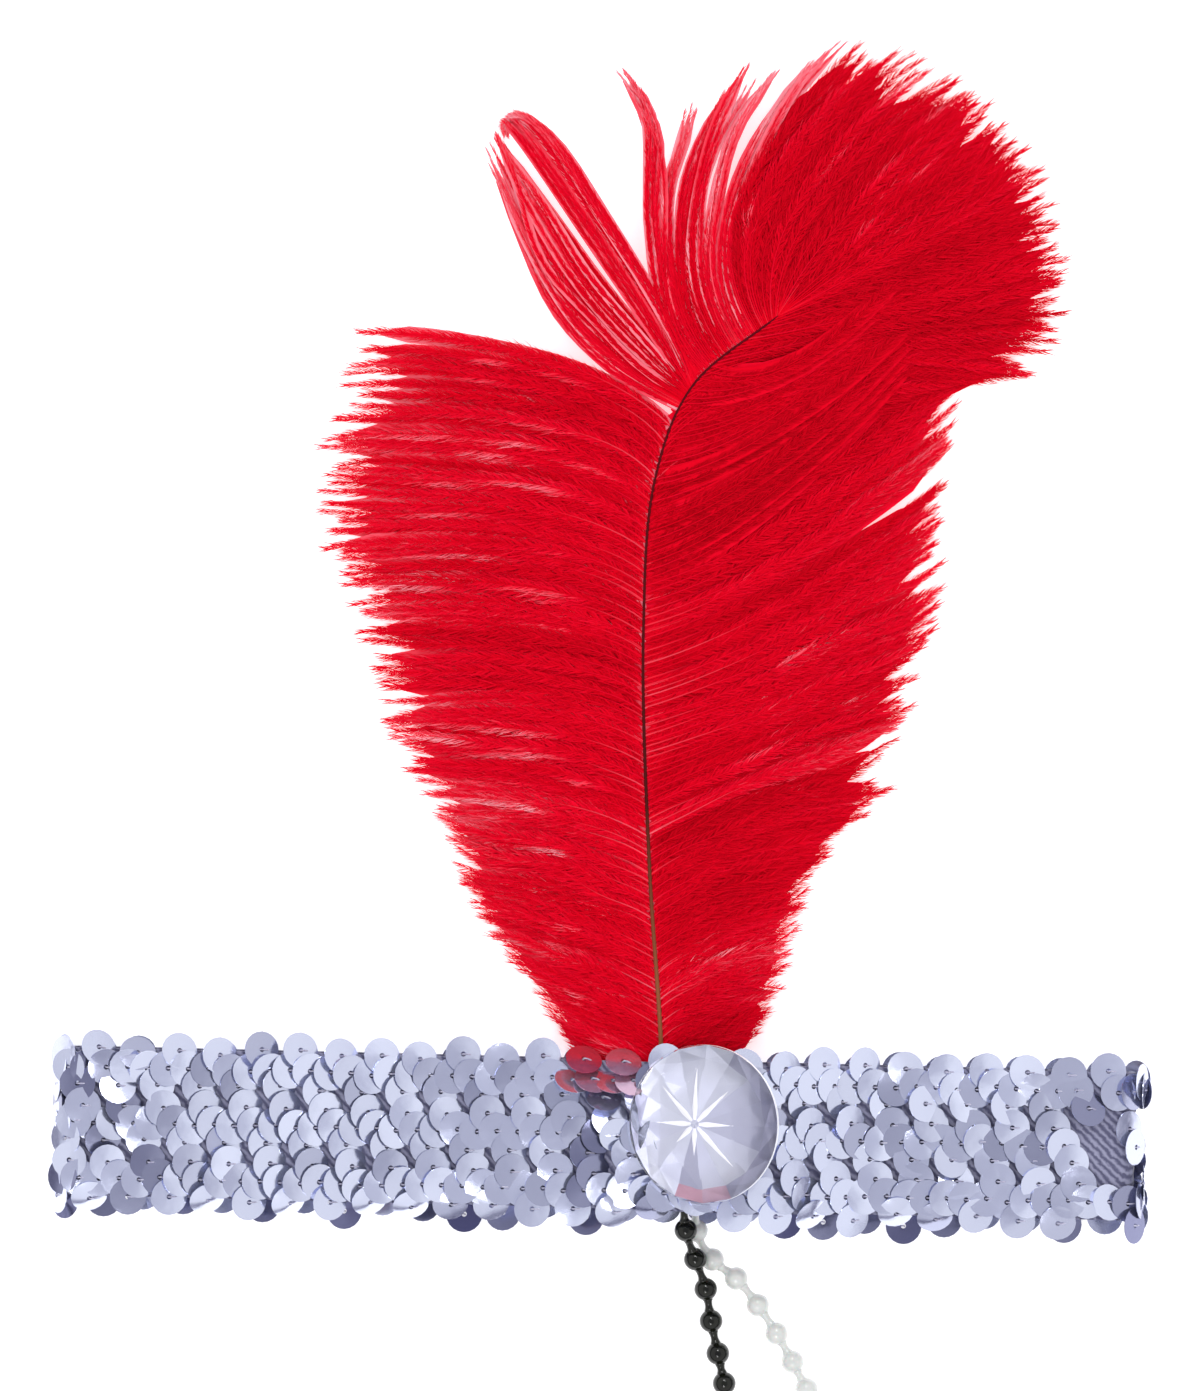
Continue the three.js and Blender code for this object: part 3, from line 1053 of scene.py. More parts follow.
@dataclass
class Jewel:
    """A round cut stone with a star of foil behind it, leaning on its glue pad."""

    loop: Loop
    x: float = 22.0
    y: float = 3.4
    tilt_deg: float = 22.0
    radius: float = 16.5
    back_radius: float = 16.2
    girdle_low: float = 0.8
    girdle_high: float = 1.8
    crown_radius: float = 12.6
    crown_height: float = 4.38
    table_radius: float = 8.6
    table_height: float = 6.0
    sides: int = 8
    front_turn: float = 0.5
    girdle_steps: int = 6
    star_radius: float = 13.0
    star_x: float = -1.5
    star_rise: float = 1.1
    ridge_rise: float = 0.7
    back: float = 0.35
    rim_gap: float = 0.02

    # The white folds, a painted highlight: how far each reaches, and their widths at some shares of
    # that.
    ray_lengths: tuple[float, ...] = (8.0, 9.5, 11.0, 10.0, 8.0, 5.5, 6.5, 11.5)
    ray_start: float = 0.9
    ray_width: float = 0.58
    ray_shares: tuple[float, ...] = (0.0, 0.25, 0.6, 1.0)
    ray_widths: tuple[float, ...] = (0.5, 1.0, 0.6, 0.06)
    ray_fold: float = 0.05
    ray_gap: float = 0.01

    # The foil: its usual tones, darker to the right with painted shade, and places whose nearest
    # facet has a tone of its own, as x, y and tone: painted reflections of the plume in rose and
    # of the dark room in shade.
    foil_gap: float = 0.08
    foil_tones: tuple[float, float] = (0.7, 1.0)
    shade_x: float = 5.0
    shade_run: float = 6.0
    most_shade: float = 0.6
    painted_reflections: tuple[Point, ...] = (
        (2.9, -14.3, 0.08),
        (-2.9, -14.3, 0.0),
        (-2.5, -9.0, 0.35),
        (-13.5, 5.5, 0.2),
        (-13.5, -5.5, 0.3),
    )

    # The glue pad, sunk a little into the sequins. Its ends close over rings of these shares.
    pad_radius: float = 9.0
    pad_sides: int = 40
    pad_rows: int = 12
    pad_sink: float = 0.6
    pad_gap: float = 0.1
    pad_closing: tuple[float, float] = (0.02, 0.5)
    pad_waist: float = 0.1
    pad_wave: float = 0.03
    clearance: float = 0.3
    seed: int = 9

    def height(self) -> float:
        """Returns the height of the stone's back at its middle."""
        tilt = math.radians(self.tilt_deg)
        low_edge = np.array(self.x - self.radius * math.cos(tilt))
        seat = self.loop.height + float(self.loop.bulge(low_edge))
        return seat + self.clearance + self.radius * math.sin(tilt)

    def settle(self, points: Array) -> Array:
        """Returns points moved from the stone's own axes to its place on the band."""
        tilt = math.radians(self.tilt_deg)
        x = points[:, 0] * math.cos(tilt) - points[:, 2] * math.sin(tilt)
        z = points[:, 0] * math.sin(tilt) + points[:, 2] * math.cos(tilt)
        return np.stack([x + self.x, points[:, 1] + self.y, z + self.height()], -1)

    def star(self, drop: float) -> tuple[Array, list[list[int]]]:
        """Works out the star-cut back.

        Args:
            drop: How far under the cut the surface lies.

        Returns:
            The middle, the star's ridges and valleys and the rim, and the faces between them.
        """
        count = 2 * self.sides
        cut = flat_ring(count, self.star_radius, self.back)
        cut[::2, 2] = self.ridge_rise
        edge = flat_ring(count, self.back_radius, self.back)
        points = np.vstack([[(self.star_x, 0.0, self.star_rise)], cut, edge])
        points[:, 2] -= drop
        rim = 1 + count
        faces = []
        for i in range(count):
            after = (i + 1) % count
            faces.append([0, 1 + i, 1 + after])
        for i in range(count):
            after = (i + 1) % count
            faces.append([1 + i, rim + i, rim + after, 1 + after])
        return points, faces

    def stone(self) -> bpy.types.Object:
        """Makes the clear stone.

        Returns:
            A closed mesh with a table, star, kite and girdle facets and the star-cut back.
        """
        steps = 2 * self.sides * self.girdle_steps
        table = flat_ring(self.sides, self.table_radius, self.table_height, self.front_turn)
        crown = flat_ring(self.sides, self.crown_radius, self.crown_height, self.front_turn + 0.5)
        high = flat_ring(steps, self.radius, self.girdle_high)
        low = flat_ring(steps, self.radius, self.girdle_low)
        cut, cut_faces = self.star(0.0)
        starts = np.cumsum([0, len(table), len(crown), len(high), len(low)])
        t0, c0, h0, l0, s0 = (int(start) for start in starts)
        faces = [list(range(t0, t0 + self.sides))]
        reach = 2 * self.girdle_steps
        shift = round(self.front_turn * reach)
        for i in range(self.sides):
            after = (i + 1) % self.sides
            corner = i * reach + shift
            faces.append([t0 + i, c0 + i, t0 + after])
            faces.append([t0 + i, c0 + (i - 1) % self.sides, h0 + corner % steps, c0 + i])
            for j in range(reach):
                first = h0 + (corner + j) % steps
                second = h0 + (corner + j + 1) % steps
                faces.append([c0 + i, first, second])
        for j in range(steps):
            k = (j + 1) % steps
            faces.append([h0 + j, l0 + j, l0 + k, h0 + k])
        faces += [[s0 + n for n in reversed(face)] for face in cut_faces]
        rim = s0 + 1 + 2 * self.sides
        for i in range(2 * self.sides):
            arc = [l0 + (i * self.girdle_steps + j) % steps for j in range(self.girdle_steps + 1)]
            faces.append([rim + (i + 1) % (2 * self.sides), *reversed(arc), rim + i][::-1])
        points = self.settle(np.vstack([table, crown, high, low, cut]))
        piece = new_object("jewel_stone", points, faces)
        return dress(piece, StoneFinish().material(), "jewel", "jewel")

    def foil(self) -> bpy.types.Object:
        """Makes the foil behind the stone.

        Returns:
            Loose facets with a tone each, just under the star-cut back, carrying painted shade and
            painted reflections.
        """
        rng = np.random.default_rng(self.seed)
        points, faces = self.star(self.foil_gap)
        loose = np.vstack([points[face] for face in faces])
        sizes = [len(face) for face in faces]
        starts = np.cumsum([0, *sizes[:-1]])
        split = [list(range(int(start), int(start) + size)) for start, size in zip(starts, sizes)]
        middles = np.array([points[face].mean(axis=0) for face in faces])
        # Painted shade, deepening towards the stone's right side.
        shade = np.clip((middles[:, 0] - self.shade_x) / self.shade_run, 0.0, self.most_shade)
        tones = rng.uniform(*self.foil_tones, len(faces)) - shade
        # Painted reflections of the plume and the dark room on the facets nearest some places.
        for x, y, tint in self.painted_reflections:
            tones[np.argmin(np.hypot(middles[:, 0] - x, middles[:, 1] - y))] = tint
        tone = np.repeat(tones, sizes)
        piece = new_object("jewel_foil", self.settle(loose), split, tone=tone)
        return dress(piece, FoilFinish().material(), "jewel", "jewel")

    def rays(self) -> bpy.types.Object:
        """Makes the eight folds of the foil, white with a painted highlight.

        Returns:
            Narrow ridged strips from the star's middle outwards.
        """
        stations = np.array(self.ray_shares)
        half = np.array(self.ray_widths) * self.ray_width
        slope = (self.star_rise - self.ridge_rise) / self.star_radius
        strips = []
        for i, length in enumerate(self.ray_lengths):
            along = self.ray_start + stations * (length - self.ray_start)
            angle = 2 * math.pi * i / self.sides
            way = np.array([math.cos(angle), math.sin(angle), 0.0])
            side = np.array([-math.sin(angle), math.cos(angle), 0.0])
            middle = along[:, None] * way + (self.star_rise - slope * along - self.ray_gap)[:, None] * UP
            middle[:, 0] += self.star_x
            lines = []
            for hand in (-1, 0, 1):
                line = middle + hand * half[:, None] * side
                lines.append(line - abs(hand) * self.ray_fold * UP)
            strips.append(np.stack(lines, 1).reshape(-1, 3))
        # Painted highlight, whitest along each fold's middle.
        tone = np.tile([0.0, 1.0, 0.0], len(stations) * self.sides)
        size = len(stations) * 3
        faces = repeat_faces(grid_faces(len(stations), 3), size, self.sides)
        piece = new_object("jewel_star", self.settle(np.vstack(strips)), faces, tone=tone)
        return dress(piece, RayFinish().material(), "jewel", "jewel")

    def rim(self) -> bpy.types.Object:
        """Makes a skin round the stone's girdle that carries a painted highlight.

        Returns:
            A thin ring of faces just outside the stone.
        """
        steps = 2 * self.sides * self.girdle_steps
        levels = (self.girdle_high, self.girdle_low)
        rows = [flat_ring(steps, self.radius + self.rim_gap, z) for z in levels]
        faces = grid_faces(len(levels), steps, closed_columns=True)
        piece = new_object("jewel_rim_highlight", self.settle(np.vstack(rows)), faces, crease=60.0)
        return dress(piece, RimHighlightFinish().material(), "jewel", "jewel")

    def pad(self) -> bpy.types.Object:
        """Makes the glue between the sequins and the stone.

        Returns:
            A blob that is drawn in a little at its waist.
        """
        slope = math.tan(math.radians(self.tilt_deg))
        angle = np.linspace(0.0, 2 * math.pi, self.pad_sides, endpoint=False)
        closing = list(self.pad_closing)
        rings = []
        for part in np.linspace(0.0, 1.0, self.pad_rows):
            shares = closing if part == 0.0 else [1.0]
            if part == 1.0:
                shares = shares + closing[::-1]
            waist = 1.0 - self.pad_waist * math.sin(math.pi * part)
            waist = waist + self.pad_wave * np.sin(3 * angle + 4 * part)
            for share in shares:
                x = self.x + self.pad_radius * share * waist * np.cos(angle)
                y = self.y + self.pad_radius * share * waist * np.sin(angle)
                low = self.loop.height + self.loop.bulge(x) - self.pad_sink
                high = self.height() + slope * (x - self.x) - self.pad_gap
                rings.append(np.stack([x, y, low + part * (high - low)], -1))
        faces = grid_faces(len(rings), self.pad_sides, closed_columns=True)
        piece = new_object("glue_pad", np.vstack(rings), faces, crease=50.0)
        return dress(piece, GlueFinish().material(), "glue", "jewel_pad")

    def build(self) -> list[bpy.types.Object]:
        """Returns the pad, foil, star, stone and rim."""
        return [self.pad(), self.foil(), self.rays(), self.stone(), self.rim()]


@dataclass
class Quill:
    """The plume's shaft."""

    stations: tuple[Point, ...] = (
        (13.5, -12.0, 11.7),
        (12.3, 19.0, 11.5),
        (9.0, 56.0, 10.0),
        (6.5, 106.0, 9.0),
        (8.2, 138.0, 10.0),
        (15.5, 157.5, 12.0),
        (33.0, 172.5, 15.0),
    )
    base_radius: float = 0.55
    tip_radius: float = 0.25
    end_steepness: float = 60.0
    sides: int = 14
    steps: int = 180
    route: Array = field(init=False)

    def __post_init__(self) -> None:
        """Runs the shaft's middle line through its stations."""
        self.route = smooth_route(np.array(self.stations), self.steps)

    @property
    def length(self) -> float:
        """Returns the shaft's length."""
        return float(np.linalg.norm(np.diff(self.route, axis=0), axis=1).sum())

    def radius(self, part: Array) -> Array:
        """Returns the shaft's radius, from 0 at its base to 1 at its tip."""
        return self.tip_radius + (self.base_radius - self.tip_radius) * (1 - part) ** 2

    def at(self, root: Array) -> tuple[Array, Array, Array]:
        """Finds places on the shaft.

        Args:
            root: Distances along it.

        Returns:
            The places, the ways along the shaft seen from above, and the radii.
        """
        part = np.clip(root / self.length, 0.0, 1.0)
        index = part * (self.steps - 1)
        known = np.arange(self.steps)
        place = np.stack([np.interp(index, known, self.route[:, axis]) for axis in range(3)], -1)
        ways = np.gradient(self.route, axis=0)
        way = np.stack([np.interp(index, known, ways[:, axis]) for axis in range(2)], -1)
        return place, unit(way), self.radius(part)

    def build(self) -> list[bpy.types.Object]:
        """Makes the shaft.

        Returns:
            The shaft alone, a tapering bar with drawn-in ends.
        """
        part = np.linspace(0.0, 1.0, self.steps)
        radii = self.radius(part) * drawn_in(self.steps, self.end_steepness)
        points, faces = tube(self.route, radii, self.sides)
        tone = np.repeat(part, self.sides)
        piece = new_object("quill_shaft", points, faces, crease=70.0, tone=tone)
        return [dress(piece, QuillFinish().material(), "quill", "quill")]


# Each lock of the plume, from the band up the left vane, round the tip and down the right vane.
# root is its distance along the quill, side the side of the quill that it grows on in degrees,
# x, y and z the place of its tip, and split how deep the parting after it cuts. The last six lie
# over the others and sweep up from the right vane into the curl.
LOCKS = np.array(
    [
        # root, side, x, y, z, split
        (16, 90, -6.5, 17.5, 6.0, 0.12),
        (28, 90, -11, 30, 4.5, 0.14),
        (35.5, 90, -18.5, 37, 3, 0.1),
        (43.5, 90, -24, 43.5, 1.8, 0.08),
        (50, 90, -28.5, 50, 1, 0.12),
        (58.5, 90, -31, 58.5, 0.5, 0.1),
        (69.5, 90, -35.5, 68.5, 0.5, 0.12),
        (81, 90, -42, 78, 0.5, 0.12),
        (92.5, 90, -46, 87.5, 0.5, 0.08),
        (102.5, 90, -48.5, 96.5, 0.5, 0.07),
        (112, 90, -52, 106, 0.5, 0.12),
        (120, 90, -56, 115, 0.5, 0.1),
        (127, 90, -60.5, 123, 0.5, 0.14),
        (136, 90, -61, 133, 0.5, 0.12),
        (145, 90, -60.5, 144, 0.5, 0.09),
        (153, 90, -57, 154, 0.5, 0.1),
        (159, 90, -55.5, 163, 0.5, 0.12),
        (163, 90, -52.5, 171, 0.5, 0.66),
        (166, 90, -28.5, 204, 2, 0),
        (169, 90, -26, 208.5, 3, 0.38),
        (172, 90, -24.5, 211, 4, 0.5),
        (174.5, 90, 1, 223.5, 3, 0.62),
        (177, 90, 14.5, 216, 3, 0.5),
        (179.5, 90, 19.5, 220, 3, 0.4),
        (182, 90, 25.5, 225, 4, 0.4),
        (184.5, 90, 30.5, 223.5, 4.5, 0.36),
        (187, 90, 38, 225, 5, 0.34),
        (189.5, 90, 46, 230, 6, 0.2),
        (192, 90, 58.5, 227, 7, 0.12),
        (195, 50, 71, 220.5, 8, 0.1),
        (195, 15, 80, 214, 8, 0.08),
        (195, -20, 85.5, 206, 8, 0.08),
        (195, -55, 88.5, 196.5, 7, 0.08),
        (188, -90, 91, 188, 6, 0.07),
        (178, -90, 92.5, 178.5, 5, 0.08),
        (167, -90, 90, 169, 4, 0.1),
        (154, -90, 83, 162.5, 3, 0.2),
        (130, -90, 69, 158.5, 2, 0.14),
        (120, -90, 69, 147, 1, 0.3),
        (112, -90, 67.5, 136, 0.5, 0.1),
        (106, -90, 68, 127, 0.5, 0.1),
        (99, -90, 67, 117, 0.5, 0.1),
        (92, -90, 64.5, 107, 0.5, 0.1),
        (85, -90, 62, 97.5, 0.5, 0.08),
        (78, -90, 62, 88, 0.5, 0.12),
        (71, -90, 59, 79, 0.5, 0.08),
        (64, -90, 55, 71, 0.5, 0.1),
        (57, -90, 48, 62, 0.5, 0.1),
        (50, -90, 41.5, 53, 1, 0.1),
        (44, -90, 40.5, 45, 1.8, 0.12),
        (38, -90, 38.5, 37.5, 3, 0.14),
        (32, -90, 34.5, 31, 4, 0.12),
        (26, -90, 34, 25.5, 5, 0.12),
        (20, -90, 29, 21.5, 6, 0),
        (128, -90, 64, 168, 3, 0.1),
        (138, -90, 72, 181, 5, 0.1),
        (148, -90, 77, 191, 6, 0.1),
        (158, -90, 79, 199, 7, 0.1),
        (168, -90, 79, 206, 8, 0.1),
        (178, -90, 76, 211, 9, 0),
    ],
    dtype=[(name, float) for name in ("root", "side", "x", "y", "z", "split")],
)

# How barbs leave the quill, against the number of their lock: the share of the way from the quill's
# direction to their own side, and how far along they keep to it.
LEAVE = np.array(
    [
        # lock, share, straight
        (0, 0.6, 0.3),
        (16, 0.6, 0.3),
        (18, 1.0, 0.45),
        (19, 1.0, 0.45),
        (20, 0.57, 0.49),
        (21, 1.0, 0.64),
        (22, 1.0, 0.45),
        (27, 1.0, 0.45),
        (29, 0.8, 0.4),
        (32, 0.3, 0.35),
        (36, 0.3, 0.4),
        (37, 0.8, 0.4),
        (42, 0.85, 0.4),
        (46, 0.6, 0.3),
        (53, 0.56, 0.3),
        (54, 0.8, 0.35),
        (59, 0.7, 0.35),
    ]
).T

# How far each lock's line is drawn aside near its tip, in x and y. Some in the crest bow out or
# bend over.
HOOKS = np.zeros((2, len(LOCKS)))
HOOKS[:, 18:22] = [(10.5, 0.0, -19.0, 19.5), (-20.0, -3.0, 27.0, 4.0)]

# The crest's locks before this one lie close, as a sheet.
SHEET_END = 20


class Vane(Enum):
    """Parts of the plume, as the first and last of the locks that each runs between."""

    LEFT_LOW = (0, 10)
    LEFT_HIGH = (10, 17)
    CREST = (18, 27)
    TIP = (27, 31)
    CURL = (31, 37)
    RIGHT_HIGH = (37, 44)
    RIGHT_LOW = (44, 53)
    SWEEP = (54, 59)

    @property
    def single(self) -> bool:
        """Returns whether the part has one layer of barbs alone."""
        return self in (Vane.CREST, Vane.SWEEP)

    @property
    def fanned(self) -> bool:
        """Returns whether the part's tips spread far more than its roots."""
        return self in (Vane.TIP, Vane.CURL, Vane.RIGHT_HIGH)

    @property
    def tone(self) -> float:
        """Returns the part's tone: darker on the right, deepest in the thick curl with painted shade,
        and lightest in the crest with painted light.
        """
        tones = {
            Vane.CREST: 0.46,
            Vane.TIP: 0.28,
            Vane.CURL: 0.22,
            Vane.SWEEP: 0.26,
            Vane.RIGHT_HIGH: 0.32,
            Vane.RIGHT_LOW: 0.34,
        }
        return tones.get(self, 0.38)

    @property
    def streak_share(self) -> float:
        """Returns the share of barbs with painted streaks of light, largest high on the left."""
        shares = {
            Vane.LEFT_LOW: 0.3,
            Vane.LEFT_HIGH: 0.5,
            Vane.CREST: 0.3,
            Vane.TIP: 0.2,
            Vane.RIGHT_HIGH: 0.25,
        }
        return shares.get(self, 0.12)

    @property
    def looseness(self) -> float:
        """Returns how far the part's barbs stray and bunch, least round the tip."""
        return {Vane.CREST: 0.3, Vane.TIP: 0.4, Vane.CURL: 0.4}.get(self, 1.0)

    @property
    def mat_tone(self) -> float:
        """Returns the tone of the matted down, which is thin, with painted light showing through it that
        makes it pale on the left and in the crest.
        """
        tones = {
            Vane.LEFT_LOW: 0.74,
            Vane.LEFT_HIGH: 0.84,
            Vane.CREST: 0.92,
            Vane.RIGHT_HIGH: 0.62,
        }
        return tones.get(self, 0.45)


@dataclass
class Plume:
    """The ostrich vane: barbs in locks along the quill, with down on both sides of each barb."""

    quill: Quill

    # How the vane lies: a barb as long as full_length has the whole arch.
    full_length: float = 55.0
    arch: float = 3.2
    droop: float = 1.15
    layers: int = 2
    layer_drop: float = 1.0

    # The barbs' own shafts, and how far apart they are.
    barb_pitch: float = 1.6
    tip_pitch: float = 1.8
    crest_pitch: float = 0.4
    sheet_share: float = 0.6
    barb_radius: float = 0.17
    barb_taper: float = 0.75
    barb_rise: float = 0.4
    barb_steps: int = 16
    root_stray: tuple[float, float] = (0.3, 0.7)
    root_depth: float = 0.5
    tip_stray: float = 0.35
    crest_stray: float = 0.25
    tip_lift: float = 0.4
    first_rise: float = 0.3
    rise_stray: float = 0.4

    # How far along its line a barb goes, less by chance and in the lower layer.
    full_reach: float = 1.02
    reach_loss: float = 0.07
    layer_loss: float = 0.03

    # How barbs swing aside: how far, how many neighbours on each side do so together, and how
    # far each strays from them.
    lock_curl: float = 0.4
    curl: float = 0.8
    curl_reach: int = 5
    curl_stray: float = 0.2
    wave: float = 0.9
    wave_reach: int = 6
    wave_stray: float = 0.15
    waves: float = 1.8
    phase: float = 0.35
    phase_reach: int = 8
    phase_stray: float = 0.05

    # How they are drawn together: at a parting, in bunches, and in tufts at the fringe.
    full_split: float = 0.4
    most_pull: float = 0.92
    bunch: int = 4
    bunch_draw: tuple[float, float] = (0.05, 0.22)
    bunch_start: float = 0.2
    bunch_run: float = 0.5
    tuft: int = 5
    tuft_draw: tuple[float, float] = (0.05, 0.4)
    tuft_start: float = 0.91

    # The down's ribbons and the mat under them.
    down_pitch: float = 0.3
    down_length: float = 4.6
    down_width: float = 0.26
    down_stray: tuple[float, float] = (0.6, 1.15)
    down_angles_deg: tuple[float, float] = (28.0, 10.0)
    down_spread_deg: float = 8.0
    down_roll: float = 0.9
    down_waist: float = 0.85
    mat_width: float = 3.6
    mat_steps: int = 14
    mat_drop: float = 0.4
    mat_end: float = 0.975
    hidden_y: float = 14.0

    # Tones: how far locks and barbs differ, what a ribbon adds at its corners and tip, the painted
    # light that pales the fringe and the crest towards the tips, and how much of a painted streak
    # shows on a barb's far side.
    lock_tone: float = 0.05
    tone_stray: float = 0.06
    ribbon_tones: tuple[float, ...] = (-0.08, -0.08, 0.02, 0.02, 0.14)
    ribbon_stray: float = 0.05
    painted_fringe_light: float = 0.22
    painted_crest_light: float = 0.2
    far_side: float = 0.4

    # Painted light: a painted highlight on the shafts near the quill, and two painted streaks of
    # light along some barbs.
    shine: tuple[float, float] = (0.35, 0.85)
    streak_place: tuple[float, float] = (0.25, 0.95)
    streak_strength: tuple[float, float] = (0.1, 0.42)
    streak_spread: tuple[float, float] = (0.06, 0.17)

    # The lowest that a shaft, a ribbon and the mat come to the floor.
    barb_floor: float = 0.3
    down_floor: float = 0.12
    mat_floor: float = 0.1
    seed: int = 21

    def share_out(self, vane: Vane, rng: np.random.Generator) -> tuple[Array, Array, Array]:
        """Shares the barbs of one part of the plume out between its locks.

        Args:
            vane: Which part.
            rng: Source of the small irregularities.

        Returns:
            Each barb's lock, its share of the way to the next lock, and its layer.
        """
        index, between, layer = [], [], []
        for level in range(1 if vane.single else self.layers):
            for lock in range(*vane.value):
                here, after = LOCKS[lock], LOCKS[lock + 1]
                pitch = self.barb_pitch
                if vane is Vane.CREST:
                    pitch = self.crest_pitch * (self.sheet_share if lock < SHEET_END else 1.0)
                room = abs(after["root"] - here["root"]) / pitch
                if vane.fanned:
                    spread = math.hypot(after["x"] - here["x"], after["y"] - here["y"])
                    room = max(room, spread / self.tip_pitch)
                count = max(2, round(room))
                index += [lock] * count
                layer += [level] * count
                between += list((np.arange(count) + rng.uniform(*self.root_stray, count)) / count)
        return np.array(index), np.array(between), np.array(layer, float)

    def barbs(self, vane: Vane, rng: np.random.Generator) -> dict[str, Array]:
        """Sets out the barbs of one part of the plume.

        Args:
            vane: Which part.
            rng: Source of the small irregularities.

        Returns:
            Arrays with a line for each barb: its root, bend, tip, heights, waves and tones.
        """
        lock, part, level = self.share_out(vane, rng)
        here, after = LOCKS[lock], LOCKS[lock + 1]
        count = len(part)

        def mix(name: str, share: Array) -> Array:
            """Returns a column of the locks' table between two neighbours."""
            return here[name] + (after[name] - here[name]) * share

        near = np.round(part)
        pull = np.minimum((here["split"] / self.full_split) ** 2, self.most_pull)
        tip_part = part + (near - part) * pull
        place, way, radius = self.quill.at(mix("root", part))
        side = np.radians(mix("side", part))

        def turned(angle: Array) -> Array:
            """Returns the way along the quill turned about the vertical."""
            x, y = way.T
            cos, sin = np.cos(angle), np.sin(angle)
            return np.stack([x * cos - y * sin, x * sin + y * cos], -1)

        crest = vane is Vane.CREST
        start = place[:, :2] + turned(side) * radius[:, None] * self.root_depth
        tip = np.stack([mix("x", tip_part), mix("y", tip_part)], -1)
        tip_stray = self.crest_stray if crest else self.tip_stray
        tip = tip + rng.normal(0.0, tip_stray, (count, 2))
        length = np.linalg.norm(tip - start, axis=1)
        share, straight = (np.interp(lock + part, LEAVE[0], column) for column in LEAVE[1:])
        bend = start + turned(side * share) * (straight * length)[:, None]
        hook = np.stack([row[lock] + (row[lock + 1] - row[lock]) * tip_part for row in HOOKS], -1)
        fullness = np.minimum(length / self.full_length, 1.0)
        rise = self.first_rise - self.layer_drop * level + float(vane is Vane.SWEEP)
        lock_bend = rng.normal(0.0, 1.0, len(LOCKS) + 1)[lock + near.astype(int)]
        sheet = crest & (lock < SHEET_END)
        loose = np.where(sheet | (level > 0), 0.0, vane.looseness)
        lock_curl = self.lock_curl * lock_bend * (0.0 if vane.fanned else ~sheet)
        levels = int(level.max()) + 1
        each = count // levels

        def shared(reach: int) -> Array:
            """Returns noise that this many neighbours on each side share, the same in each layer."""
            kernel = np.exp(-np.linspace(-2.0, 2.0, 2 * reach + 1) ** 2)
            noise = np.convolve(rng.normal(0.0, 1.0, each + 2 * reach), kernel, "valid")
            return np.tile(noise / np.sqrt((kernel**2).sum()), levels)

        reach = self.full_reach - self.reach_loss * rng.random(count) ** 2 - self.layer_loss * level
        return {
            "start": start,
            "bend": start + (bend - start) * 2 / 3,
            "draw": tip + (bend - tip) * 2 / 3 + hook,
            "tip": tip,
            "sleek": np.full(count, float(crest)),
            "reach": reach,
            "level": level,
            "length": length,
            "low": place[:, 2],
            "high": mix("z", tip_part) + self.tip_lift,
            "arch": self.arch * fullness**2,
            "lift": (rise + rng.normal(0.0, self.rise_stray, count)) * fullness,
            "gather": loose * self.gather(count, rng, self.bunch, *self.bunch_draw),
            "tuft": np.tile(self.gather(each, rng, self.tuft, *self.tuft_draw), levels) * (not crest),
            # Painted highlight on each shaft near the quill.
            "shine": rng.uniform(*self.shine, count) * (1 - 0.5 * crest),
            "curl": (
                lock_curl
                + self.curl * shared(self.curl_reach)
                + rng.normal(0.0, self.curl_stray, count)
            ),
            "wave": self.wave * shared(self.wave_reach) + rng.normal(0.0, self.wave_stray, count),
            "phase": self.phase * shared(self.phase_reach) + self.phase_stray * rng.random(count),
            "tone": (
                vane.tone
                + self.lock_tone * lock_bend
                + rng.normal(0.0, self.tone_stray, count)
            ),
            "mat_tone": vane.mat_tone + rng.normal(0.0, self.tone_stray, count),
            # Painted streaks of light: where along the barb, how strong and how wide.
            "streak": rng.uniform(*self.streak_place, (count, 2)),
            "pale": np.where(
                rng.random((count, 2)) < vane.streak_share,
                rng.uniform(*self.streak_strength, (count, 2)),
                0.0,
            ),
            "spread": rng.uniform(*self.streak_spread, (count, 2)),
        }

    def gather(
        self,
        count: int,
        rng: np.random.Generator,
        size: int,
        least: float,
        most: float,
    ) -> Array:
        """Bunches neighbouring barbs.

        Args:
            count: How many barbs there are.
            rng: Source of the bunches' sizes.
            size: How many barbs the largest bunch has.
            least: The least share of the way to a bunch's middle that its barbs are drawn.
            most: The greatest share.

        Returns:
            How far each barb is drawn to the middle of its bunch.
        """
        drawn = np.zeros(count)
        first = 0
        while first < count:
            last = min(count, first + int(rng.integers(2, size + 1)))
            members = np.arange(first, last)
            away = (members.mean() - members) * self.barb_pitch
            drawn[members] = away * rng.uniform(least, most)
            first = last
        return drawn

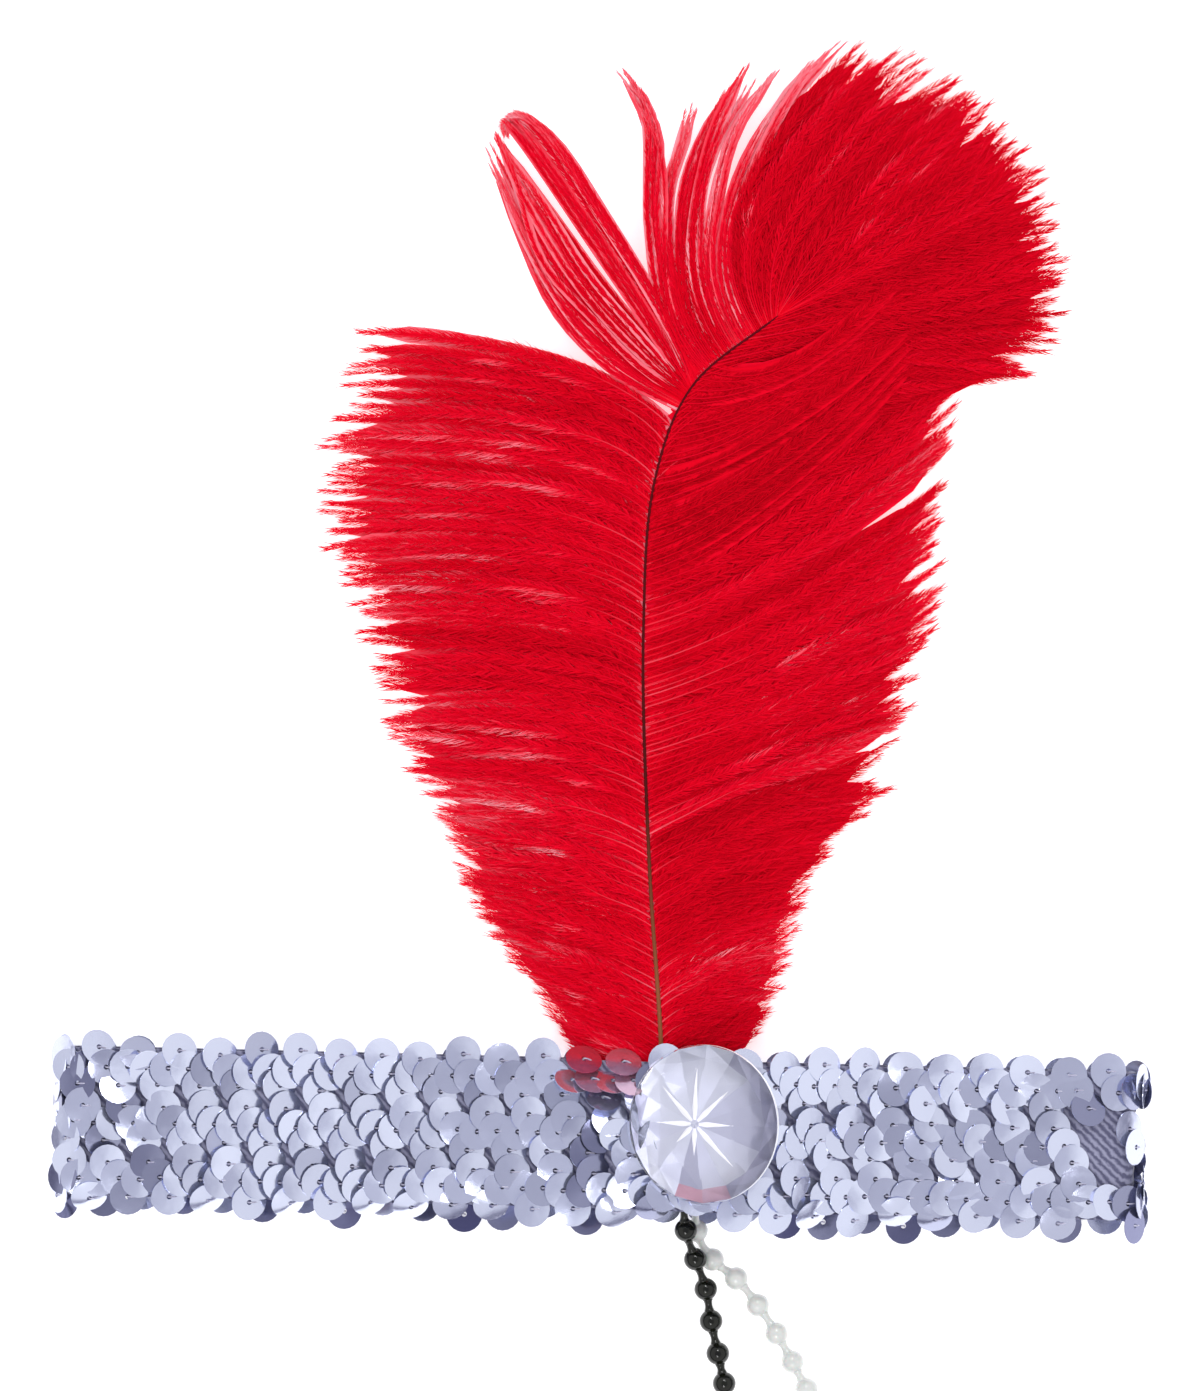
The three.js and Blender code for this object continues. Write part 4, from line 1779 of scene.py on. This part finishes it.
    def along(self, barbs: dict[str, Array], pick: Array, t: Array) -> tuple[Array, Array]:
        """Finds places on barbs.

        Args:
            barbs: The barbs' table.
            pick: Which barb each place is on.
            t: How far along it, from 0 at its root to 1 at its tip.

        Returns:
            The places and the ways along the barbs.
        """
        s = (t * barbs["reach"][pick])[:, None]
        a, b, c, d = (barbs[name][pick] for name in ("start", "bend", "draw", "tip"))
        flat = (1 - s) ** 3 * a + 3 * s * (1 - s) ** 2 * b + 3 * s**2 * (1 - s) * c + s**3 * d
        way = unit((1 - s) ** 2 * (b - a) + 2 * s * (1 - s) * (c - b) + s**2 * (d - c))
        swing = barbs["curl"][pick] * t**3
        turns = self.waves * t + barbs["phase"][pick]
        swing += barbs["wave"][pick] * t**1.5 * np.sin(2 * math.pi * turns)
        fringe = np.clip((t - self.tuft_start) / (1 - self.tuft_start), 0.0, 1.0)
        swing -= barbs["tuft"][pick] * fringe**1.3
        bunched = np.clip((t - self.bunch_start) / self.bunch_run, 0.0, 1.0)
        swing -= barbs["gather"][pick] * bunched * (0.5 + 0.7 * t**3)
        flat = flat + np.stack([-way[:, 1], way[:, 0]], -1) * swing[:, None]
        s = s[:, 0]
        z = barbs["low"][pick] + (barbs["high"][pick] - barbs["low"][pick]) * s**self.droop
        z += barbs["arch"][pick] * np.sin(math.pi * s) + barbs["lift"][pick] * np.minimum(1.0, 6 * t)
        place = np.column_stack([flat, np.maximum(z, self.barb_floor)])
        return place, np.column_stack([way, np.zeros(len(way))])

    def shafts(self, barbs: dict[str, Array]) -> tuple[Array, Faces, Array]:
        """Makes the barbs' own thin shafts.

        Args:
            barbs: The barbs' table.

        Returns:
            Points, three-sided faces and tones.
        """
        count, steps, sides = len(barbs["tone"]), self.barb_steps, 3
        pick = np.repeat(np.arange(count), steps)
        t = np.tile(np.linspace(0.0, 1.0, steps), count)
        place, way = self.along(barbs, pick, t)
        place[:, 2] += self.barb_rise * (1 - t) * np.minimum(1.0, 10 * t)
        across = np.cross(way, UP)
        radius = self.barb_radius * (1 - self.barb_taper * t)
        rings = []
        for corner in range(sides):
            angle = 2 * math.pi * corner / sides + math.pi / 2
            rings.append(place + radius[:, None] * (math.cos(angle) * across + math.sin(angle) * UP))
        points = np.stack(rings, 1).reshape(-1, 3)
        faces = repeat_faces(grid_faces(steps, sides, closed_columns=True), steps * sides, count)
        # Painted highlight, strongest near the quill.
        tone = np.repeat(barbs["tone"][pick] + 0.5 * barbs["shine"][pick] * (1 - t), sides)
        return points, halved(faces), tone

    def mat(self, barbs: dict[str, Array]) -> tuple[Array, Faces, Array]:
        """Makes the matted down under the barbs: a flat strip along each barb of the lowest layer.

        Args:
            barbs: The barbs' table.

        Returns:
            Points, three-sided faces and tones.
        """
        lowest = np.flatnonzero(barbs["level"] == barbs["level"].max())
        pick = np.repeat(lowest, self.mat_steps)
        t = np.tile(np.linspace(0.0, 1.0, self.mat_steps) ** 0.8 * self.mat_end, len(lowest))
        place, way = self.along(barbs, pick, t)
        place[:, 2] = np.maximum(place[:, 2] - self.mat_drop, self.mat_floor)
        half = self.mat_width / 2 * np.sqrt(np.clip((0.98 - t) / 0.07, 0.0, 1.0))
        half *= 1 - 0.5 * barbs["sleek"][pick]
        across = np.cross(way, UP) * half[:, None]
        points = np.stack([place - across, place + across], 1).reshape(-1, 3)
        faces = repeat_faces(grid_faces(self.mat_steps, 2), 2 * self.mat_steps, len(lowest))
        # The mat's tone is pale with painted light where the down is thin.
        tone = np.repeat(barbs["mat_tone"][pick], 2)
        return points, halved(faces), tone

    def down(self, barbs: dict[str, Array], rng: np.random.Generator) -> tuple[Array, Faces, Array]:
        """Makes the down: fine ribbons that leave each barb on both sides and sweep to its tip.

        Args:
            barbs: The barbs' table.
            rng: Source of the small irregularities.

        Returns:
            Points, three-sided faces and tones.
        """
        shown = barbs["length"] * barbs["reach"]
        number = np.maximum(6, (shown / self.down_pitch).astype(int))
        pick = np.repeat(np.arange(len(number)), 2 * number)
        first = np.concatenate([[0], np.cumsum(2 * number)[:-1]])
        order = np.arange(len(pick)) - first[pick]
        count = len(pick)
        t = ((order // 2 + rng.random(count)) / number[pick]) ** 0.9
        hand = np.where(order % 2, 1.0, -1.0)
        place, way = self.along(barbs, pick, t)
        side = np.cross(UP, way) * hand[:, None]
        sleek = barbs["sleek"][pick]
        length = self.down_length * np.minimum(1.0, 0.55 + 1.2 * t) * (1 - 0.35 * t**6)
        length *= (1 - 0.4 * sleek) * rng.uniform(*self.down_stray, count)

        def step(angle_deg: float, rise: Array) -> Array:
            """Returns half a ribbon's run at an angle to its barb, with a rise."""
            angle = np.radians(rng.normal(angle_deg, self.down_spread_deg, count))
            angle = (angle * (1 - 0.5 * t**6) * (1 - 0.45 * sleek))[:, None]
            run = np.cos(angle) * way + np.sin(angle) * side + rise[:, None] * UP
            return run * (length / 2)[:, None]

        root_deg, tip_deg = self.down_angles_deg
        middle = place + step(root_deg, rng.normal(-0.05, 0.1, count))
        tip = middle + step(tip_deg, rng.normal(-0.15, 0.12, count))
        roll = rng.uniform(-self.down_roll, self.down_roll, count)
        run = unit(tip - place)
        edge = unit(np.cross(UP, run)) * np.cos(roll)[:, None] + UP * np.sin(roll)[:, None]
        half = edge * (self.down_width / 2 * (1 - 0.4 * t**2))[:, None]
        waist = self.down_waist * half
        points = np.stack([place - half, place + half, middle + waist, middle - waist, tip], 1)
        points[..., 2] = np.maximum(points[..., 2], self.down_floor)
        shown = place[:, 1] > self.hidden_y
        faces = repeat_faces(np.array([[0, 1, 2], [0, 2, 3], [3, 2, 4]]), 5, int(shown.sum()))
        base = barbs["tone"][pick] + rng.normal(0.0, self.ribbon_stray, count)
        # Painted light, paler towards the fringe.
        base += self.painted_fringe_light * t**3
        # Painted streaks of light along some barbs, fainter on their far side.
        away = (t[:, None] - barbs["streak"][pick]) / barbs["spread"][pick]
        streaks = barbs["pale"][pick] * np.exp(-(away**2))
        lit = streaks.sum(axis=1) * np.where(hand > 0, 1.0, self.far_side)
        # Painted light, paler towards the crest's tips.
        base += self.painted_crest_light * sleek * t**2 + lit
        tone = base[:, None] + np.array(self.ribbon_tones)
        return points[shown].reshape(-1, 3), faces, tone[shown].ravel()

    def build(self) -> list[bpy.types.Object]:
        """Makes the parts of the plume.

        Returns:
            One piece for each vane.
        """
        dye_and_light = PlumeFinish().material()
        pieces = []
        for number, vane in enumerate(Vane):
            rng = np.random.default_rng(self.seed + number)
            barbs = self.barbs(vane, rng)
            points, faces, tones = zip(self.mat(barbs), self.shafts(barbs), self.down(barbs, rng))
            starts = np.cumsum([0, *(len(part) for part in points)])
            faces = [part + start for part, start in zip(faces, starts)]
            name = f"plume_{vane.name.lower()}"
            tone = np.concatenate(tones)
            piece = new_object(name, np.vstack(points), np.vstack(faces), crease=60.0, tone=tone)
            pieces.append(dress(piece, dye_and_light, "plume", "plume"))
        return pieces


@dataclass
class BeadString:
    """A string of moulded beads with a neck between each two."""

    colour: BeadColour
    start: Point
    centres: tuple[Point, ...]
    radius: float = 2.4
    neck: float = 0.75
    collar: float = 1.05
    tail: float = 3.4
    flare: float = 0.45
    end_steepness: float = 80.0
    thread_steps: int = 260
    thread_sides: int = 12
    seam: float = 0.012
    seam_width: float = 0.12
    pole: float = 0.03
    sides: int = 28
    rows: int = 24

    def route(self) -> Array:
        """Returns the middle line of the thread, from under the band to its free end."""
        centres = np.array(self.centres)
        last = centres[-1] + unit(centres[-1] - centres[-2]) * self.tail
        return smooth_route(np.vstack([[self.start], centres, [last]]), self.thread_steps)

    def thread(self, route: Array, material: bpy.types.Material) -> bpy.types.Object:
        """Makes the thread.

        Args:
            route: Its middle line.
            material: Its finish.

        Returns:
            The thread, swelling to a collar at each bead.
        """
        away = np.linalg.norm(route[:, None] - np.array(self.centres)[None], axis=2)
        gap = np.min(away, axis=1) - self.radius
        swell = np.exp(-np.maximum(gap, 0.0) / self.flare)
        radii = self.neck + (self.collar - self.neck) * swell
        radii *= drawn_in(len(route), self.end_steepness)
        points, faces = tube(route, radii, self.thread_sides)
        name = f"{self.colour.value}_thread"
        piece = new_object(f"{name}_moulded", points, faces, crease=60.0)
        return dress(piece, material, f"{self.colour.value}_bead", name)

    def bead(self, number: int, route: Array, material: bpy.types.Material) -> bpy.types.Object:
        """Makes one bead.

        Args:
            number: Which bead, counted from the band.
            route: The thread's middle line.
            material: The bead's finish.

        Returns:
            A round bead with a faint moulding seam round it.
        """
        centre = np.array(self.centres[number])
        nearest = int(np.argmin(np.linalg.norm(route - centre, axis=1)))
        along = unit(route[min(nearest + 2, len(route) - 1)] - route[max(nearest - 2, 0)])
        across = unit(np.cross(along, UP))
        over = np.cross(across, along)
        fall = np.linspace(self.pole, math.pi - self.pole, self.rows)[:, None]
        turn = np.linspace(0.0, 2 * math.pi, self.sides, endpoint=False)[None]
        seam = 1 + self.seam * (np.abs(np.sin(turn)) < self.seam_width)
        radius = self.radius * seam * np.ones_like(fall)
        points = centre + (radius * np.cos(fall))[..., None] * along
        points = points + (radius * np.sin(fall) * np.cos(turn))[..., None] * across
        points = points + (radius * np.sin(fall) * np.sin(turn))[..., None] * over
        name = f"{self.colour.value}_bead_{number + 1}"
        faces = grid_faces(self.rows, self.sides, closed_columns=True)
        piece = new_object(f"{name}_moulded", points.reshape(-1, 3), faces, crease=60.0)
        return dress(piece, material, f"{self.colour.value}_bead", name)

    def build(self) -> list[bpy.types.Object]:
        """Returns the thread and its beads."""
        material = BeadFinish(self.colour).material()
        route = self.route()
        beads = [self.bead(number, route, material) for number in range(len(self.centres))]
        return [self.thread(route, material), *beads]


BLACK_STRING = BeadString(
    BeadColour.BLACK,
    (17.5, -8.0, 13.5),
    (
        (18.5, -19.9, 9.3),
        (20.7, -26.2, 6.1),
        (23.1, -32.7, 3.3),
        (24.4, -39.5, 2.4),
        (26.0, -46.3, 2.4),
        (27.5, -52.6, 2.4),
    ),
)
PEARL_STRING = BeadString(
    BeadColour.PEARL,
    (21.5, -8.0, 14.5),
    (
        (20.8, -20.3, 4.6),
        (24.4, -26.5, 2.4),
        (29.5, -30.4, 2.4),
        (34.2, -35.9, 2.4),
        (38.3, -41.8, 2.4),
        (41.8, -47.7, 2.4),
        (44.9, -53.4, 2.4),
    ),
)


@dataclass(frozen=True)
class Lamp:
    """A square lamp, which may show in shiny surfaces or light dull ones."""

    name: str
    place: Point
    size: float
    watts: float
    mirrored: bool = True
    lights: bool = True


@dataclass
class Studio:
    """White paper, soft light all round with a greyer sky overhead, and a camera straight above."""

    floor_half: float = 9000.0
    aim: Point = (-2.3, 92.1, 8.0)
    turn_deg: float = 1.4
    frame_height: float = 292.84
    camera_rise: float = 1400.0
    sensor: float = 36.0
    sky: Stops = (
        (0.0, (0.10, 0.09, 0.16)),
        (0.14, (0.16, 0.15, 0.24)),
        (0.27, (0.95, 0.95, 0.97)),
        (0.80, (1.0, 1.0, 1.0)),
        (0.89, (0.54, 0.54, 0.61)),
        (1.0, (0.48, 0.48, 0.55)),
    )
    lamps: tuple[Lamp, ...] = (
        Lamp("overhead", (0.0, 100.0, 2200.0), 1600.0, 18.0, mirrored=False),
        Lamp("spark_left", (-240.0, -560.0, 1500.0), 110.0, 0.8),
        Lamp("spark_right", (260.0, 760.0, 1500.0), 110.0, 0.8),
        Lamp("box_above", (-60.0, 850.0, 1215.0), 300.0, 3.6, lights=False),
        Lamp("box_below", (-60.0, -700.0, 1215.0), 300.0, 2.6, lights=False),
    )

    def floor(self) -> bpy.types.Object:
        """Makes the paper.

        Returns:
            A flat floor that isn't part of the object.
        """
        half = self.floor_half
        corners = [(-half, -half, 0.0), (half, -half, 0.0), (half, half, 0.0), (-half, half, 0.0)]
        piece = new_object("paper", np.array(corners), [[0, 1, 2, 3]])
        piece.data.materials.append(FloorFinish().material())
        return piece

    def surround(self) -> None:
        """Lights the scene from a sky that goes from dark at the horizon through white to grey."""
        world = bpy.data.worlds.new("studio")
        world.use_nodes = True
        nodes, links = world.node_tree.nodes, world.node_tree.links
        place = nodes.new("ShaderNodeTexCoord")
        split = nodes.new("ShaderNodeSeparateXYZ")
        ramp = nodes.new("ShaderNodeValToRGB")
        fill_ramp(ramp, self.sky)
        links.new(place.outputs["Generated"], split.inputs["Vector"])
        links.new(split.outputs["Z"], ramp.inputs["Fac"])
        links.new(ramp.outputs["Color"], nodes["Background"].inputs["Color"])
        bpy.context.scene.world = world

    def light(self, lamp: Lamp) -> None:
        """Hangs a lamp so that it faces the object.

        Args:
            lamp: The lamp.
        """
        light = bpy.data.lights.new(lamp.name, "AREA")
        light.size = lamp.size * MM
        light.energy = lamp.watts
        hung = bpy.data.objects.new(lamp.name, light)
        hung.location = [value * MM for value in lamp.place]
        target = np.array(self.aim) - np.array(lamp.place)
        tilt = math.atan2(math.hypot(target[0], target[1]), -target[2])
        hung.rotation_euler = (tilt, 0.0, math.atan2(-target[0], target[1]))
        hung.visible_camera = False
        hung.visible_glossy = lamp.mirrored
        hung.visible_diffuse = lamp.lights
        bpy.context.scene.collection.objects.link(hung)

    def camera(self) -> None:
        """Looks straight down with the photograph's framing."""
        camera = bpy.data.cameras.new("camera")
        camera.sensor_width = self.sensor
        camera.lens = self.sensor * self.camera_rise / self.frame_height
        viewer = bpy.data.objects.new("camera", camera)
        x, y, z = self.aim
        viewer.location = (x * MM, y * MM, (z + self.camera_rise) * MM)
        viewer.rotation_euler = (0.0, 0.0, math.radians(self.turn_deg))
        bpy.context.scene.collection.objects.link(viewer)
        bpy.context.scene.camera = viewer

    def build(self) -> None:
        """Sets up the floor, light and camera."""
        self.floor()
        self.surround()
        for lamp in self.lamps:
            self.light(lamp)
        self.camera()
        bpy.context.scene.view_settings.view_transform = "Standard"


def main() -> None:
    """Builds the headband's pieces in order and reports them, then sets up the studio."""
    logging.basicConfig(level=logging.INFO, format="%(name)s: %(message)s")
    loop = Loop()
    quill = Quill()
    makers = (
        KnitBand(loop),
        SequinField(loop),
        Jewel(loop),
        quill,
        Plume(quill),
        BLACK_STRING,
        PEARL_STRING,
    )
    for maker in makers:
        for piece in maker.build():
            LOG.info("%s: %d faces", piece.name, len(piece.data.polygons))
    Studio().build()


if __name__ == "__main__":
    main()
